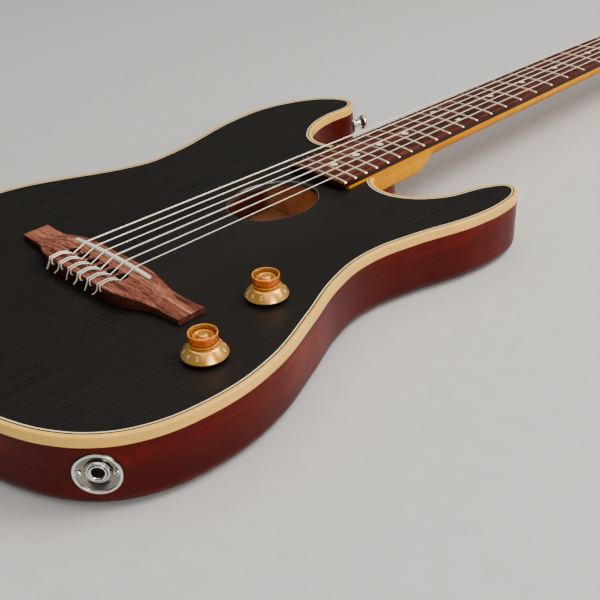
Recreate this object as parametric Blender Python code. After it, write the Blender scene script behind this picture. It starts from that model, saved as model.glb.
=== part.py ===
"""A nylon-string guitar with a chambered solid body, a bolt-on neck and an under-saddle pickup.

It lies on its back: +Z is up, +Y runs along the neck to the head, +X is the treble side.
The origin is on the back face, below the saddle line on the neck's centre line. All sizes are in metres.
"""

import math

import bpy
import bmesh
from mathutils import Matrix, Vector

# Clearances
SEAT = 0.0003
INLAY_GAP = 0.0002
RUNNING_GAP = 0.0003

# Cutters: how far they pass the face that they cut, and how far they reach into the open
CUT_PAST = 0.0020
CUT_OPEN = 0.0100

# Roundness: sides of turned pieces, and the sag allowed on the body's curve
SIDES_LARGE = 20
SIDES_MEDIUM = 12
SIDES_SMALL = 8
SIDES_SCREW = 6
SIDES_SOUNDHOLE = 28
SIDES_POT = 10
SIDES_WELL = 12
OUTLINE_SAG = 0.0007

# Scale length and frets
SCALE = 0.648
FRET_COUNT = 22
FRET_WIDTH = 0.0023
FRET_CROWN_WIDTH = 0.0010
FRET_HEIGHT = 0.0011
FRET_FOOT = 0.0004
FRET_END_INSET = 0.0004

# Body
BODY_THICKNESS = 0.0455
TOP_THICKNESS = 0.0040
BACK_THICKNESS = 0.0090
BACK_ROUND = 0.0090
BACK_ROUND_STEPS = 3
HEEL_ROUND = 0.0030
BINDING_HEIGHT = 0.0063
BINDING_WIDTH = 0.0026
BINDING_CHAMFER = 0.0009
PURFLING_MARGIN = 0.0006
PURFLING_WIDTH = 0.0008
PURFLING_DEPTH = 0.0014

# Body outline, from the tail's centre round the treble side and back along the bass side
TREBLE_LOWER_BOUT = [
    (0.0000, -0.1405),
    (0.0450, -0.1363),
    (0.0835, -0.1270),
    (0.1120, -0.1150),
    (0.1320, -0.0970),
    (0.1435, -0.0750),
    (0.1489, -0.0440),
    (0.1482, -0.0200),
    (0.1430, 0.0060),
    (0.1310, 0.0380),
    (0.1140, 0.0770),
]
TREBLE_HORN = [
    (0.1055, 0.1120),
    (0.1078, 0.1444),
    (0.1170, 0.1770),
    (0.1250, 0.2080),
    (0.1273, 0.2350),
    (0.1240, 0.2560),
    (0.1170, 0.2655),
    (0.1075, 0.2668),
    (0.0985, 0.2560),
    (0.0925, 0.2390),
    (0.0840, 0.2190),
    (0.0720, 0.2060),
    (0.0580, 0.1992),
    (0.0430, 0.1995),
    (0.0325, 0.2055),
    (0.0268, 0.2140),
]
HEEL_END = [
    (0.0252, 0.2280),
    (0.0225, 0.2410),
    (0.0140, 0.2485),
    (-0.0160, 0.2495),
    (-0.0300, 0.2415),
]
BASS_HORN = [
    (-0.0440, 0.2357),
    (-0.0560, 0.2362),
    (-0.0670, 0.2430),
    (-0.0775, 0.2570),
    (-0.0840, 0.2750),
    (-0.0862, 0.2930),
    (-0.0868, 0.3110),
    (-0.0930, 0.3210),
    (-0.1050, 0.3240),
    (-0.1230, 0.3130),
    (-0.1380, 0.2880),
    (-0.1450, 0.2580),
    (-0.1440, 0.2250),
    (-0.1340, 0.1800),
    (-0.1263, 0.1400),
]
BASS_LOWER_BOUT = [
    (-0.1265, 0.1140),
    (-0.1390, 0.0800),
    (-0.1570, 0.0400),
    (-0.1645, 0.0000),
    (-0.1620, -0.0360),
    (-0.1460, -0.0780),
    (-0.1180, -0.1100),
    (-0.0840, -0.1290),
    (-0.0450, -0.1363),
]

# Soundhole and chambers
SOUNDHOLE_Y = 0.1354
SOUNDHOLE_HALF_WIDTH = 0.0283
SOUNDHOLE_HALF_LENGTH = 0.0347
SOUNDHOLE_EDGE = 0.0010
CHAMBER_CORNER = 0.012
CHAMBER = [(-0.054, -0.030), (0.054, -0.030), (0.054, 0.178), (-0.054, 0.178)]
CONTROL_CORNER = 0.010
CONTROL_CAVITY = [(0.080, -0.084), (0.118, -0.084), (0.131, -0.050), (0.131, -0.014), (0.120, 0.024),
                  (0.106, 0.062), (0.080, 0.062), (0.077, -0.010)]
LEAD_CHANNEL_Y = 0.006
LEAD_CHANNEL_WIDTH = 0.010
LEAD_CHANNEL_DEPTH = 0.012
LEAD_CHANNEL_LAP = 0.005

# Neck
POCKET_DEPTH = 0.0163
POCKET_END = 0.1840
NECK_ABOVE_TOP = 0.0018
HEEL_LENGTH_END = 0.2600
HEEL_SWEEP = 0.0260
SHAFT_DEPTH_BODY = 0.0145
SHAFT_DEPTH_NUT = 0.0136
NUT_END_WIDTH = 0.0450
BODY_END_WIDTH = 0.0552
HEEL_SQUARENESS = 16.0
SHAFT_SQUARENESS = 2.3
NECK_SECTION_POINTS = 11

# Fretboard
BOARD_END = 0.1785
BOARD_HEIGHT = 0.0052
BOARD_RADIUS = 0.245
BOARD_STRIPS = 3
BOARD_CORNER = 0.003

# Head
HEAD_DROP = 0.0100
HEAD_THICKNESS = 0.0145
HEAD_TOP_STEP = (0.0085, 0.0260)
HEAD_BACK_STEP = (-0.0220, 0.0260)
HEAD_CORNER = 0.0140
HEAD_CORNER_ANGLES = (0.0, 30.0, 52.0, 70.0, 84.0)
HEAD_CORNER_SLANT = 0.35
# Past the nut: the head's half width beyond the neck's own at the nut
HEAD_OUTLINE = [
    (0.0090, 0.0000),
    (0.0170, 0.0011),
    (0.0260, 0.0050),
    (0.0360, 0.0120),
    (0.0460, 0.0160),
    (0.0580, 0.0170),
    (0.0820, 0.0160),
    (0.1250, 0.0137),
    (0.1520, 0.0122),
]
HEAD_LENGTH = 0.1790

# Nut
NUT_LENGTH = 0.0050
NUT_STRING_SPREAD = 0.0352
STRING_OVER_FRET_AT_NUT = 0.0005
NUT_ABOVE_STRING = 0.0006
NUT_END_INSET = 0.0006
NUT_CHAMFER = 0.0012
NUT_STRIPS = 5

# Bridge: stations are distance from the centre, rear edge, front edge, height
BRIDGE_STATIONS = [
    (0.0000, -0.0252, 0.0068, 0.0096),
    (0.0340, -0.0250, 0.0056, 0.0096),
    (0.0400, -0.0236, 0.0046, 0.0092),
    (0.0470, -0.0205, 0.0036, 0.0080),
    (0.0540, -0.0170, 0.0032, 0.0063),
    (0.0610, -0.0152, 0.0038, 0.0049),
    (0.0700, -0.0143, 0.0045, 0.0042),
    (0.0797, -0.0137, 0.0054, 0.0039),
]
BRIDGE_EDGE = 0.0007
STRING_SPREAD = 0.0493
WELL_Y = -0.0112
WELL_HALF_WIDTH = 0.0029
WELL_HALF_LENGTH = 0.0046
WELL_FLOOR = 0.0040
TIE_HOLE_HEIGHT = 0.0064
TIE_HOLE_CLEARANCE = 0.0005
TIE_LOOP_REACH = 0.0015
KNOT_SLACK = 0.0004

# Saddle and pickup
SADDLE_Y = -0.0003
SADDLE_LENGTH = 0.0764
SADDLE_WIDTH = 0.0030
SADDLE_CROWN = 0.0124
SADDLE_EDGE = 0.0009
SADDLE_RADIUS = 0.400
SLOT_FLOOR = 0.0034
PICKUP_HEIGHT = 0.0014
PICKUP_WIDTH = 0.0024

# Strings: treble to bass
STRING_COUNT = 6
STRING_DIAMETERS = (0.00072, 0.00082, 0.00102, 0.00076, 0.00090, 0.00110)
COIL_TURNS = 1.25
COIL_POINTS = 24
COIL_GAP = 0.0009
STRING_SIDES_RESOLUTION = 1

# Tuners, nearest the nut first, from the head's end
TUNER_FROM_END = (0.127, 0.085, 0.043)
POST_X = 0.0235
POST_RADIUS = 0.0032
POST_WAIST_RADIUS = 0.0028
POST_HEIGHT = 0.0155
POST_DEPTH_IN_HOUSING = 0.0100
POST_WAIST_LOW = 0.0050
POST_WAIST_HIGH = 0.0124
POST_STEP = 0.0009
POST_CHAMFER = 0.0005
POST_HOLE_HEIGHT = 0.0112
POST_HOLE_RADIUS = 0.0009
COIL_HEIGHT = 0.0066
BUSHING_RADIUS = 0.0049
BUSHING_WASHER_RADIUS = 0.0072
BUSHING_WASHER_HEIGHT = 0.0008
BUSHING_NUT_RADIUS = 0.0058
BUSHING_NUT_HEIGHT = 0.0020
HOUSING_DEPTH = 0.0140
HOUSING_LENGTH = 0.0185
HOUSING_INNER_X = 0.0140
HOUSING_OUTER_X = 0.0350
HOUSING_CORNER = 0.0030
HOUSING_CHAMFER = 0.0015
HOUSING_PAST_WORM = 0.0045
WORM_OFFSET = 0.0066
WORM_DROP = 0.0075
SHAFT_RADIUS = 0.0023
SHAFT_INSIDE = 0.0080
SHAFT_IN_BUTTON = 0.0030
BUTTON_START = 0.0440
BUTTON_THICKNESS = 0.0062
BUTTON_CHAMFER = 0.0014
BUTTON_SAG = 0.0005
BUTTON_OUTLINE = [
    (0.0000, 0.0032),
    (0.0030, 0.0048),
    (0.0056, 0.0088),
    (0.0092, 0.0098),
    (0.0128, 0.0084),
    (0.0142, 0.0040),
]

# Knobs and potentiometers
KNOB_PLACES = ((0.1137, -0.0234), (0.0937, 0.0409))
KNOB_GAP = 0.0020
KNOB_HEIGHT = 0.0137
KNOB_SKIRT_RADIUS = 0.01325
KNOB_SKIRT_HEIGHT = 0.0062
KNOB_RIM_RADIUS = 0.0083
KNOB_DISH_DEPTH = 0.0013
KNOB_BOSS_RADIUS = 0.0034
KNOB_BOSS_HEIGHT = 0.0007
KNOB_WALL = 0.0014
KNOB_EDGE = 0.0005
KNOB_NUT_ROOM = 0.0008
KNOB_HOLLOW = 0.0050
KNOB_BORE_DEPTH = 0.0105
POT_CASE_RADIUS = 0.0120
POT_CASE_HEIGHT = 0.0092
POT_CASE_EDGE = 0.0010
POT_FLOOR_THICKNESS = 0.0020
POT_NECK_RADIUS = 0.0046
POT_SHAFT_RADIUS = 0.0030
POT_NECK_ABOVE_TOP = 0.0040
POT_SHAFT_ABOVE_TOP = 0.0115
POT_NUT_RADIUS = 0.0072
POT_NUT_HEIGHT = 0.0024

# Jack in the treble lower side
JACK_HEIGHT = 0.0230
JACK_DIRECTION_DEG = -45.5
CUP_RADIUS = 0.0125
CUP_SEAT = 0.0020
CUP_WELL_RADIUS = 0.0075
CUP_DEPTH = 0.0030
CUP_SHEET = 0.0008
CUP_LIP = 0.0010
JACK_BORE_RADIUS = 0.0033
JACK_BODY_RADIUS = 0.0070
JACK_NECK_RADIUS = 0.0046
JACK_BODY_LENGTH = 0.0260
JACK_NECK_LENGTH = 0.0030
JACK_BORE_SPARE = 0.0040
JACK_NUT_RADIUS = 0.0057
JACK_NUT_HEIGHT = 0.0016
CUP_SCREW_OFFSET = 0.0095
CUP_SCREW_RADIUS = 0.0011
CUP_SCREW_LENGTH = 0.0120
CUP_SCREW_HEAD_RADIUS = 0.0017
CUP_SCREW_HEAD_LOW = -0.0006
CUP_SCREW_HEAD_HIGH = 0.0002

# Strap buttons, and the way that each faces
STRAP_HEIGHT = 0.0225
STRAP_FACES = {"horn": 68.0, "tail": -90.0}
STRAP_RADIUS = 0.0074
STRAP_LENGTH = 0.0125
STRAP_WAIST_RADIUS = 0.0042
STRAP_BASE_RADIUS = 0.0062
STRAP_BASE_HEIGHT = 0.0016
STRAP_EDGE = 0.0006
STRAP_RECESS = 0.0008
STRAP_SEAT_RADIUS = 0.0076
STRAP_SEAT_DEPTH = 0.0014
STRAP_SCREW_RADIUS = 0.0016
STRAP_SCREW_LENGTH = 0.0210
STRAP_SCREW_POINT = 0.0020
FELT_THICKNESS = 0.0015

# How far the fittings in the back lie below its face
BACK_RECESS = 0.0004

# Neck screws
NECK_SCREW_X = 0.0150
NECK_SCREW_Y = (0.1950, 0.2290)
FERRULE_RADIUS = 0.0060
FERRULE_DEPTH = 0.0040
NECK_SCREW_RADIUS = 0.0022
NECK_SCREW_HEAD_RADIUS = 0.0045
NECK_SCREW_HEAD_EDGE = 0.0004
NECK_SCREW_RECESS = 0.0008
NECK_SCREW_LENGTH = 0.0390

# Control cover in the back
COVER_MARGIN = 0.0065
COVER_THICKNESS = 0.0022
COVER_REBATE = 0.0025
COVER_SCREW_RADIUS = 0.0014
COVER_SCREW_HEAD_RADIUS = 0.0024
COVER_SCREW_LENGTH = 0.0090
COVER_SCREW_FACE = 0.0001
COVER_SCREW_HEAD_DEPTH = 0.0010
COVER_SCREW_CORNERS = (0, 1, 3, 5, 6, 7)

# Battery and preamp board
BATTERY_SIZE = (0.0262, 0.0485, 0.0172)
BATTERY_CENTRE = (0.0950, -0.0300)
BATTERY_CORNER = 0.0030
BOARD_SIZE = (0.0200, 0.0880, 0.0016)

# Leads
LEAD_RADIUS = 0.0009
LEAD_X = 0.0368
LEAD_STRAIGHT = 0.0040
# The jack lead's places and how far each lies below the preamp board
JACK_LEAD_ROUTE = [
    (0.1105, -0.0600, 0.0056),
    (0.1135, -0.0400, 0.0050),
    (0.1125, -0.0300, 0.0040),
    (0.1122, -0.0290, 0.0003),
]
# The pickup lead's steps from the top's hole to the board
PICKUP_LEAD_STEP = (0.0030, 0.0020, 0.0030)
PICKUP_LEAD_SAG = 0.0020
PICKUP_LEAD_END = (-0.0040, -0.0100, 0.0060)

# Truss rod
ROD_WIDTH = 0.0060
ROD_HEIGHT = 0.0086
ROD_START_GAP = 0.0040
ROD_END_GAP = 0.0080

# Places that follow from the sizes above
TOP_Z = BODY_THICKNESS
TOP_UNDERSIDE_Z = TOP_Z - TOP_THICKNESS
CORE_TOP_Z = TOP_UNDERSIDE_Z - SEAT
NECK_PLANE_Z = TOP_Z + NECK_ABOVE_TOP
BOARD_TOP_Z = NECK_PLANE_Z + BOARD_HEIGHT
POCKET_FLOOR_Z = TOP_Z - POCKET_DEPTH
HEAD_FACE_Z = NECK_PLANE_Z - HEAD_DROP
HEAD_BACK_Z = HEAD_FACE_Z - HEAD_THICKNESS
BRIDGE_Z = TOP_Z + SEAT
WORM_Z = HEAD_BACK_Z - WORM_DROP
POT_FLOOR_Z = TOP_UNDERSIDE_Z - SEAT - POT_CASE_HEIGHT + POT_FLOOR_THICKNESS
CORE_INSET = BINDING_WIDTH + SEAT
PURFLING_START = CORE_INSET + PURFLING_MARGIN
PURFLING_END = PURFLING_START + PURFLING_WIDTH
HEAD_END_Y = SCALE + HEAD_LENGTH
BRIDGE_REAR = BRIDGE_STATIONS[0][1]
BRIDGE_HEIGHT = BRIDGE_STATIONS[0][3]
SHAFT_START = HEEL_LENGTH_END + HEEL_SWEEP
TUNER_PAST_NUT = [HEAD_LENGTH - back for back in TUNER_FROM_END]


def clear_scene():
    for old in list(bpy.data.objects):
        bpy.data.objects.remove(old, do_unlink=True)


def material(name, colour, roughness, metallic=0.0):
    """A plain Principled finish in the colour that the photograph shows."""
    mat = bpy.data.materials.new(name)
    mat.use_nodes = True
    shader = mat.node_tree.nodes["Principled BSDF"]
    shader.inputs["Base Color"].default_value = (*colour, 1.0)
    shader.inputs["Roughness"].default_value = roughness
    shader.inputs["Metallic"].default_value = metallic
    mat.diffuse_color = (*colour, 1.0)
    return mat


def add_object(name, data, mat):
    obj = bpy.data.objects.new(name, data)
    bpy.context.scene.collection.objects.link(obj)
    if mat is not None:
        obj.data.materials.append(mat)
    return obj


def mesh_from(name, bodies):
    """One mesh of closed bodies, each a pair of points and faces, with every face pointing out."""
    bm = bmesh.new()
    for points, faces in bodies:
        verts = [bm.verts.new(p) for p in points]
        for face in faces:
            bm.faces.new([verts[i] for i in face])
    bmesh.ops.recalc_face_normals(bm, faces=bm.faces[:])
    mesh = bpy.data.meshes.new(name)
    bm.to_mesh(mesh)
    bm.free()
    mesh.shade_smooth()
    mesh.set_sharp_from_angle(angle=math.radians(35.0))
    return mesh


def solid(name, bodies, mat):
    return add_object(name, mesh_from(name, bodies), mat)


def cut(target, name, bodies, operation="DIFFERENCE"):
    """Cuts the bodies from the target, or joins them to it, with a Boolean modifier."""
    cutter = add_object(name, mesh_from(name, bodies), None)
    cutter.hide_render = True
    cutter.display_type = "WIRE"
    modifier = target.modifiers.new(name, "BOOLEAN")
    modifier.operation = operation
    modifier.solver = "EXACT"
    modifier.object = cutter
    return cutter


def loft(rings):
    """A closed body through rings of equal point counts, with flat caps."""
    count = len(rings[0])
    points = [p for ring in rings for p in ring]
    faces = [tuple(range(count)), tuple(range(len(points) - count, len(points)))]
    for level in range(len(rings) - 1):
        low = level * count
        for i in range(count):
            j = (i + 1) % count
            faces.append((low + i, low + j, low + count + j, low + count + i))
    return points, faces


def closed_sweep(rings):
    """A closed body whose last ring joins its first, like a hoop."""
    count = len(rings[0])
    points = [p for ring in rings for p in ring]
    faces = []
    for level in range(len(rings)):
        low = level * count
        high = ((level + 1) % len(rings)) * count
        for i in range(count):
            j = (i + 1) % count
            faces.append((low + i, low + j, high + j, high + i))
    return points, faces


def prism(outline, low, high):
    return loft([[(x, y, z) for x, y in outline] for z in (low, high)])


def box(low, high):
    (x0, y0, z0), (x1, y1, z1) = low, high
    return prism([(x0, y0), (x1, y0), (x1, y1), (x0, y1)], z0, z1)


def ellipse(centre, half_x, half_y, sides):
    step = 2.0 * math.pi / sides
    return [(centre[0] + half_x * math.cos(i * step), centre[1] + half_y * math.sin(i * step))
            for i in range(sides)]


def place(body, matrix):
    points, faces = body
    return [matrix @ Vector(p) for p in points], faces


def turned(profile, sides):
    """A body turned round Z from (radius, height) points. A first and last radius of 0 close it."""
    solid_core = profile[0][0] == 0.0
    wall = profile[1:-1] if solid_core else profile
    count = len(wall)
    points = []
    for i in range(sides):
        angle = 2.0 * math.pi * i / sides
        points += [(r * math.cos(angle), r * math.sin(angle), z) for r, z in wall]
    faces = []
    for i in range(sides):
        here = i * count
        there = ((i + 1) % sides) * count
        last = count - 1 if solid_core else count
        for k in range(last):
            n = (k + 1) % count
            faces.append((here + k, here + n, there + n, there + k))
    if solid_core:
        for k, (_, z) in ((0, profile[0]), (count - 1, profile[-1])):
            faces.append(tuple(i * count + k for i in range(sides)))
    return points, faces


def cylinder(radius, low, high, sides=SIDES_SMALL):
    return turned([(0.0, low), (radius, low), (radius, high), (0.0, high)], sides)


def free_bore(radius, sides):
    """The corner radius of a faceted bore whose flats clear a piece that turns in it."""
    return (radius + RUNNING_GAP) / math.cos(math.pi / sides)


def at(x, y, z=0.0):
    return Matrix.Translation((x, y, z))


def facing(origin, direction):
    """A frame at origin whose Z points along direction."""
    turn = Vector((0.0, 0.0, 1.0)).rotation_difference(Vector(direction).normalized())
    return Matrix.Translation(origin) @ turn.to_matrix().to_4x4()


def smooth(points, closed, steps):
    """Points along a smooth curve (Catmull-Rom) through the given ones, in two or three dimensions."""
    given = [Vector(p) for p in points]
    count = len(given)
    spans = count if closed else count - 1
    curve = []
    for i in range(spans):
        if closed:
            a, b, c, d = (given[(i + k) % count] for k in (-1, 0, 1, 2))
        else:
            a, b, c, d = (given[min(max(i + k, 0), count - 1)] for k in (-1, 0, 1, 2))
        for step in range(steps):
            t = step / steps
            curve.append(0.5 * (2.0 * b + (c - a) * t + (2.0 * a - 5.0 * b + 4.0 * c - d) * t * t
                                + (3.0 * b - a - 3.0 * c + d) * t ** 3))
    if not closed:
        curve.append(given[-1])
    return curve


def thin_out(curve, sag):
    """Indices of the points that keep a closed curve within sag of its chords."""
    kept = [0]
    last = 0
    for i in range(2, len(curve) + 1):
        start = curve[last]
        end = curve[i % len(curve)]
        chord = end - start
        off = max(abs(chord.x * (curve[k].y - start.y) - chord.y * (curve[k].x - start.x)) / chord.length
                  for k in range(last + 1, i))
        if off > sag:
            last = i - 1
            kept.append(last)
    return kept


def rounded(corners, radius, steps=3):
    """A closed outline, anticlockwise, with its corners rounded by arcs."""
    outline = []
    for i, corner in enumerate(corners):
        here = Vector(corner)
        back = (Vector(corners[i - 1]) - here).normalized()
        ahead = (Vector(corners[(i + 1) % len(corners)]) - here).normalized()
        half = back.angle(ahead) / 2.0
        reach = radius / math.tan(half)
        centre = here + (back + ahead).normalized() * (radius / math.sin(half))
        start = here + back * reach - centre
        sweep = math.pi - 2.0 * half
        turn = 1.0 if back.cross(ahead) < 0.0 else -1.0
        for k in range(steps + 1):
            angle = turn * sweep * k / steps
            point = Matrix.Rotation(angle, 2) @ start + centre
            outline.append((point.x, point.y))
    return outline


def grown(corners, margin):
    """A polygon's corners moved outward by the same margin from every side."""
    moved = []
    for i, corner in enumerate(corners):
        here = Vector(corner)
        into = (here - Vector(corners[i - 1])).normalized()
        out = (Vector(corners[(i + 1) % len(corners)]) - here).normalized()
        normal_in = Vector((into.y, -into.x))
        normal_out = Vector((out.y, -out.x))
        middle = (normal_in + normal_out).normalized()
        moved.append(tuple(here + middle * (margin / middle.dot(normal_in))))
    return moved


class BodyOutline:
    """The body's plan outline, and rings drawn a given distance inside it."""

    def __init__(self):
        given = TREBLE_LOWER_BOUT + TREBLE_HORN + HEEL_END + BASS_HORN + BASS_LOWER_BOUT
        fine = smooth(given, True, 24)
        self.fine = []
        for i, point in enumerate(fine):
            tangent = (fine[(i + 1) % len(fine)] - fine[i - 1]).normalized()
            self.fine.append((point, Vector((tangent.y, -tangent.x))))
        kept = thin_out(fine, OUTLINE_SAG)
        self.points = [self.fine[i][0] for i in kept]
        self.normals = [self.fine[i][1] for i in kept]
        self.limits = self.deepest_insets()

    def deepest_insets(self):
        """How far each point can move inward: less at the heel's end, and where the ring would fold over."""
        count = len(self.points)
        radii = []
        for i in range(count):
            before, after = i - 1, (i + 1) % count
            chord = (self.points[after] - self.points[before]).length
            turn = self.normals[before].angle(self.normals[after])
            convex = self.normals[before].cross(self.normals[after]) > 0.0
            radii.append(chord / max(turn, 0.001) if convex else 1.0)
        tight = [(point, 0.8 * radius) for point, radius in zip(self.points, radii)]
        tight += [(Vector(point), HEEL_ROUND) for point in HEEL_END[:-1]]
        return [min(least + 0.5 * (point - there).length for there, least in tight) for point in self.points]

    def ring(self, inset, z):
        ring = []
        for point, normal, limit in zip(self.points, self.normals, self.limits):
            depth = min(inset, limit)
            ring.append((point.x - normal.x * depth, point.y - normal.y * depth, z))
        return ring

    def frame_facing(self, degrees, end, z):
        """Where the edge faces a direction, at the body's head end (1) or its tail end (-1)."""
        angle = math.radians(degrees)
        way = Vector((math.cos(angle), math.sin(angle)))
        far = [(n.dot(way), p) for p, n in self.fine if p.y * end > 0.0]
        if end > 0:
            far = [(match, p) for match, p in far if p.x < 0.0 and p.y > SOUNDHOLE_Y + 0.1]
        place_on_edge = max(far, key=lambda item: item[0])[1]
        return facing((place_on_edge.x, place_on_edge.y, z), (way.x, way.y, 0.0))

    def hoop(self, profile):
        """A strip that runs round the body, its section given as (inset, height) points."""
        rings = [[(p.x - n.x * inset, p.y - n.y * inset, z) for inset, z in profile]
                 for p, n in zip(self.points, self.normals)]
        return closed_sweep(rings)


def between(value, stations, column):
    """One column of a station table, read between its rows."""
    if value <= stations[0][0]:
        return stations[0][column]
    for low, high in zip(stations, stations[1:]):
        if value <= high[0]:
            t = (value - low[0]) / (high[0] - low[0])
            return low[column] + (high[column] - low[column]) * t
    return stations[-1][column]


def eased(value, low, high):
    """0 below low, 1 above high, and an S-curve between them."""
    t = min(max((value - low) / (high - low), 0.0), 1.0)
    return t * t * (3.0 - 2.0 * t)


def fret_y(number):
    return SCALE * 2.0 ** (-number / 12.0)


def board_half_width(y):
    share = (min(y, SCALE) - BOARD_END) / (SCALE - BOARD_END)
    return 0.5 * (BODY_END_WIDTH + (NUT_END_WIDTH - BODY_END_WIDTH) * share)


def crown_drop(x):
    """How far the radiused board falls below its centre line at x."""
    return BOARD_RADIUS - math.sqrt(BOARD_RADIUS ** 2 - x ** 2)


def neck_half_width(y):
    """The board's taper up to the nut, then the head's outline with its rounded end."""
    if y <= SCALE:
        return board_half_width(y)
    half = NUT_END_WIDTH / 2.0 + between(y - SCALE, HEAD_OUTLINE, 1)
    into_corner = y - (HEAD_END_Y - HEAD_CORNER)
    if into_corner > 0.0:
        half -= HEAD_CORNER - math.sqrt(max(HEAD_CORNER ** 2 - into_corner ** 2, 0.0))
        half -= HEAD_CORNER_SLANT * into_corner
    return half


def past_nut(y, step):
    return eased(y - SCALE, *step)


def neck_top(y):
    return NECK_PLANE_Z - HEAD_DROP * past_nut(y, HEAD_TOP_STEP)


def neck_bottom(y):
    heel = POCKET_FLOOR_Z + SEAT
    along = (y - SHAFT_START) / (SCALE - SHAFT_START)
    shaft = NECK_PLANE_Z - (SHAFT_DEPTH_BODY + (SHAFT_DEPTH_NUT - SHAFT_DEPTH_BODY) * along)
    lower = heel + (shaft - heel) * eased(y, HEEL_LENGTH_END, SHAFT_START)
    return lower + (HEAD_BACK_Z - lower) * past_nut(y, HEAD_BACK_STEP)


def neck_squareness(y):
    heel_to_shaft = eased(y, HEEL_LENGTH_END, SHAFT_START)
    square = HEEL_SQUARENESS + (SHAFT_SQUARENESS - HEEL_SQUARENESS) * heel_to_shaft
    return square + (HEEL_SQUARENESS - square) * past_nut(y, HEAD_BACK_STEP)


def neck_section(y):
    """Flat on top, and below it half of a superellipse, square at the heel and round on the shaft."""
    half = neck_half_width(y)
    top = neck_top(y)
    depth = top - neck_bottom(y)
    power = 2.0 / neck_squareness(y)
    ring = []
    for k in range(NECK_SECTION_POINTS):
        angle = math.pi * k / (NECK_SECTION_POINTS - 1)
        side = math.copysign(abs(math.cos(angle)) ** power, math.cos(angle))
        ring.append((half * side, y, top - depth * abs(math.sin(angle)) ** power))
    return ring


def steps_between(low, high, count):
    return [low + (high - low) * k / count for k in range(count + 1)]


def neck_stations():
    """Where the neck's sections stand: close together wherever its form changes."""
    heel = steps_between(HEEL_LENGTH_END, SHAFT_START, 6)
    bend = steps_between(SCALE + HEAD_BACK_STEP[0], SCALE + HEAD_TOP_STEP[0], 4)
    face = steps_between(SCALE + HEAD_TOP_STEP[0], SCALE + HEAD_TOP_STEP[1], 4)[1:]
    sides = [SCALE + past for past, _ in HEAD_OUTLINE if past > HEAD_TOP_STEP[1]]
    corner = [HEAD_END_Y - HEAD_CORNER * (1.0 - math.sin(math.radians(a))) for a in HEAD_CORNER_ANGLES]
    return [POCKET_END + 4.0 * SEAT] + heel + bend + face + sides + corner


def string_x(number, spread):
    """Strings count from 1, the thinnest, on the treble side."""
    return spread * (0.5 - (number - 1) / 5.0)


def string_radius(number):
    return STRING_DIAMETERS[number - 1] / 2.0


def saddle_point(number):
    x = string_x(number, STRING_SPREAD)
    z = TOP_Z + SADDLE_CROWN - x * x / (2.0 * SADDLE_RADIUS) + SEAT + string_radius(number)
    return Vector((x, SADDLE_Y, z))


def nut_point(number):
    x = string_x(number, NUT_STRING_SPREAD)
    z = BOARD_TOP_Z - crown_drop(x) + FRET_HEIGHT + STRING_OVER_FRET_AT_NUT + string_radius(number)
    return Vector((x, SCALE, z))


def tuner_side(number):
    """1 on the treble side and -1 on the bass side."""
    return 1.0 if number <= 3 else -1.0


def tuner_y(number):
    return SCALE + (TUNER_PAST_NUT[number - 1] if number <= 3 else TUNER_PAST_NUT[6 - number])


def post_axis(number):
    return Vector((tuner_side(number) * POST_X, tuner_y(number), 0.0))


def make_body(outline, mats):
    """The mahogany core, hollowed from the top and the back, with a round back edge."""
    rings = []
    for step in range(BACK_ROUND_STEPS + 1):
        angle = math.pi / 2.0 * step / BACK_ROUND_STEPS
        rings.append(outline.ring(BACK_ROUND * (1.0 - math.sin(angle)), BACK_ROUND * (1.0 - math.cos(angle))))
    ledge = TOP_Z - BINDING_HEIGHT - SEAT
    rings.append(outline.ring(0.0, ledge))
    rings.append(outline.ring(CORE_INSET, ledge))
    rings.append(outline.ring(CORE_INSET, CORE_TOP_Z))
    core = solid("body_core", [loft(rings)], mats["mahogany"])
    above = CORE_TOP_Z + CUT_PAST
    below = -CUT_PAST
    channel_low = CORE_TOP_Z - LEAD_CHANNEL_DEPTH
    cut(core, "chamber_cutter", [prism(rounded(CHAMBER, CHAMBER_CORNER), BACK_THICKNESS, above)])
    cut(core, "control_cutter", [prism(rounded(CONTROL_CAVITY, CONTROL_CORNER, 2), below, above)])
    cut(core, "cover_rebate_cutter", [prism(cover_outline(SEAT), below, COVER_REBATE)])
    channel_half = LEAD_CHANNEL_WIDTH / 2.0
    channel = box((CHAMBER[1][0] - LEAD_CHANNEL_LAP, LEAD_CHANNEL_Y - channel_half, channel_low),
                  (CONTROL_CAVITY[-1][0] + LEAD_CHANNEL_LAP, LEAD_CHANNEL_Y + channel_half, above))
    cut(core, "lead_channel_cutter", [channel])
    cut(core, "pocket_cutter", [neck_clearance(POCKET_FLOOR_Z)])
    cut(core, "jack_bore_cutter", [place(jack_bore(), jack_frame(outline))])
    cut(core, "jack_screw_cutter", jack_screw_holes(outline))
    cut(core, "strap_cutter", strap_cutters(outline))
    cut(core, "neck_screw_cutter", neck_screw_cutters())
    bore = cylinder(COVER_SCREW_RADIUS + SEAT, 0.0, COVER_SCREW_LENGTH + SEAT, SIDES_SCREW)
    cut(core, "cover_screw_cutter", [place(bore, at(x, y)) for x, y in cover_screw_places()])
    return core


def neck_clearance(floor):
    """The space that the neck's heel takes, from the pocket's floor up, tapered like the heel."""
    near = board_half_width(POCKET_END) + SEAT
    far = board_half_width(SHAFT_START) + SEAT
    outline = [(-near, POCKET_END), (near, POCKET_END), (far, SHAFT_START), (-far, SHAFT_START)]
    return prism(outline, floor, TOP_Z + CUT_OPEN)


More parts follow.
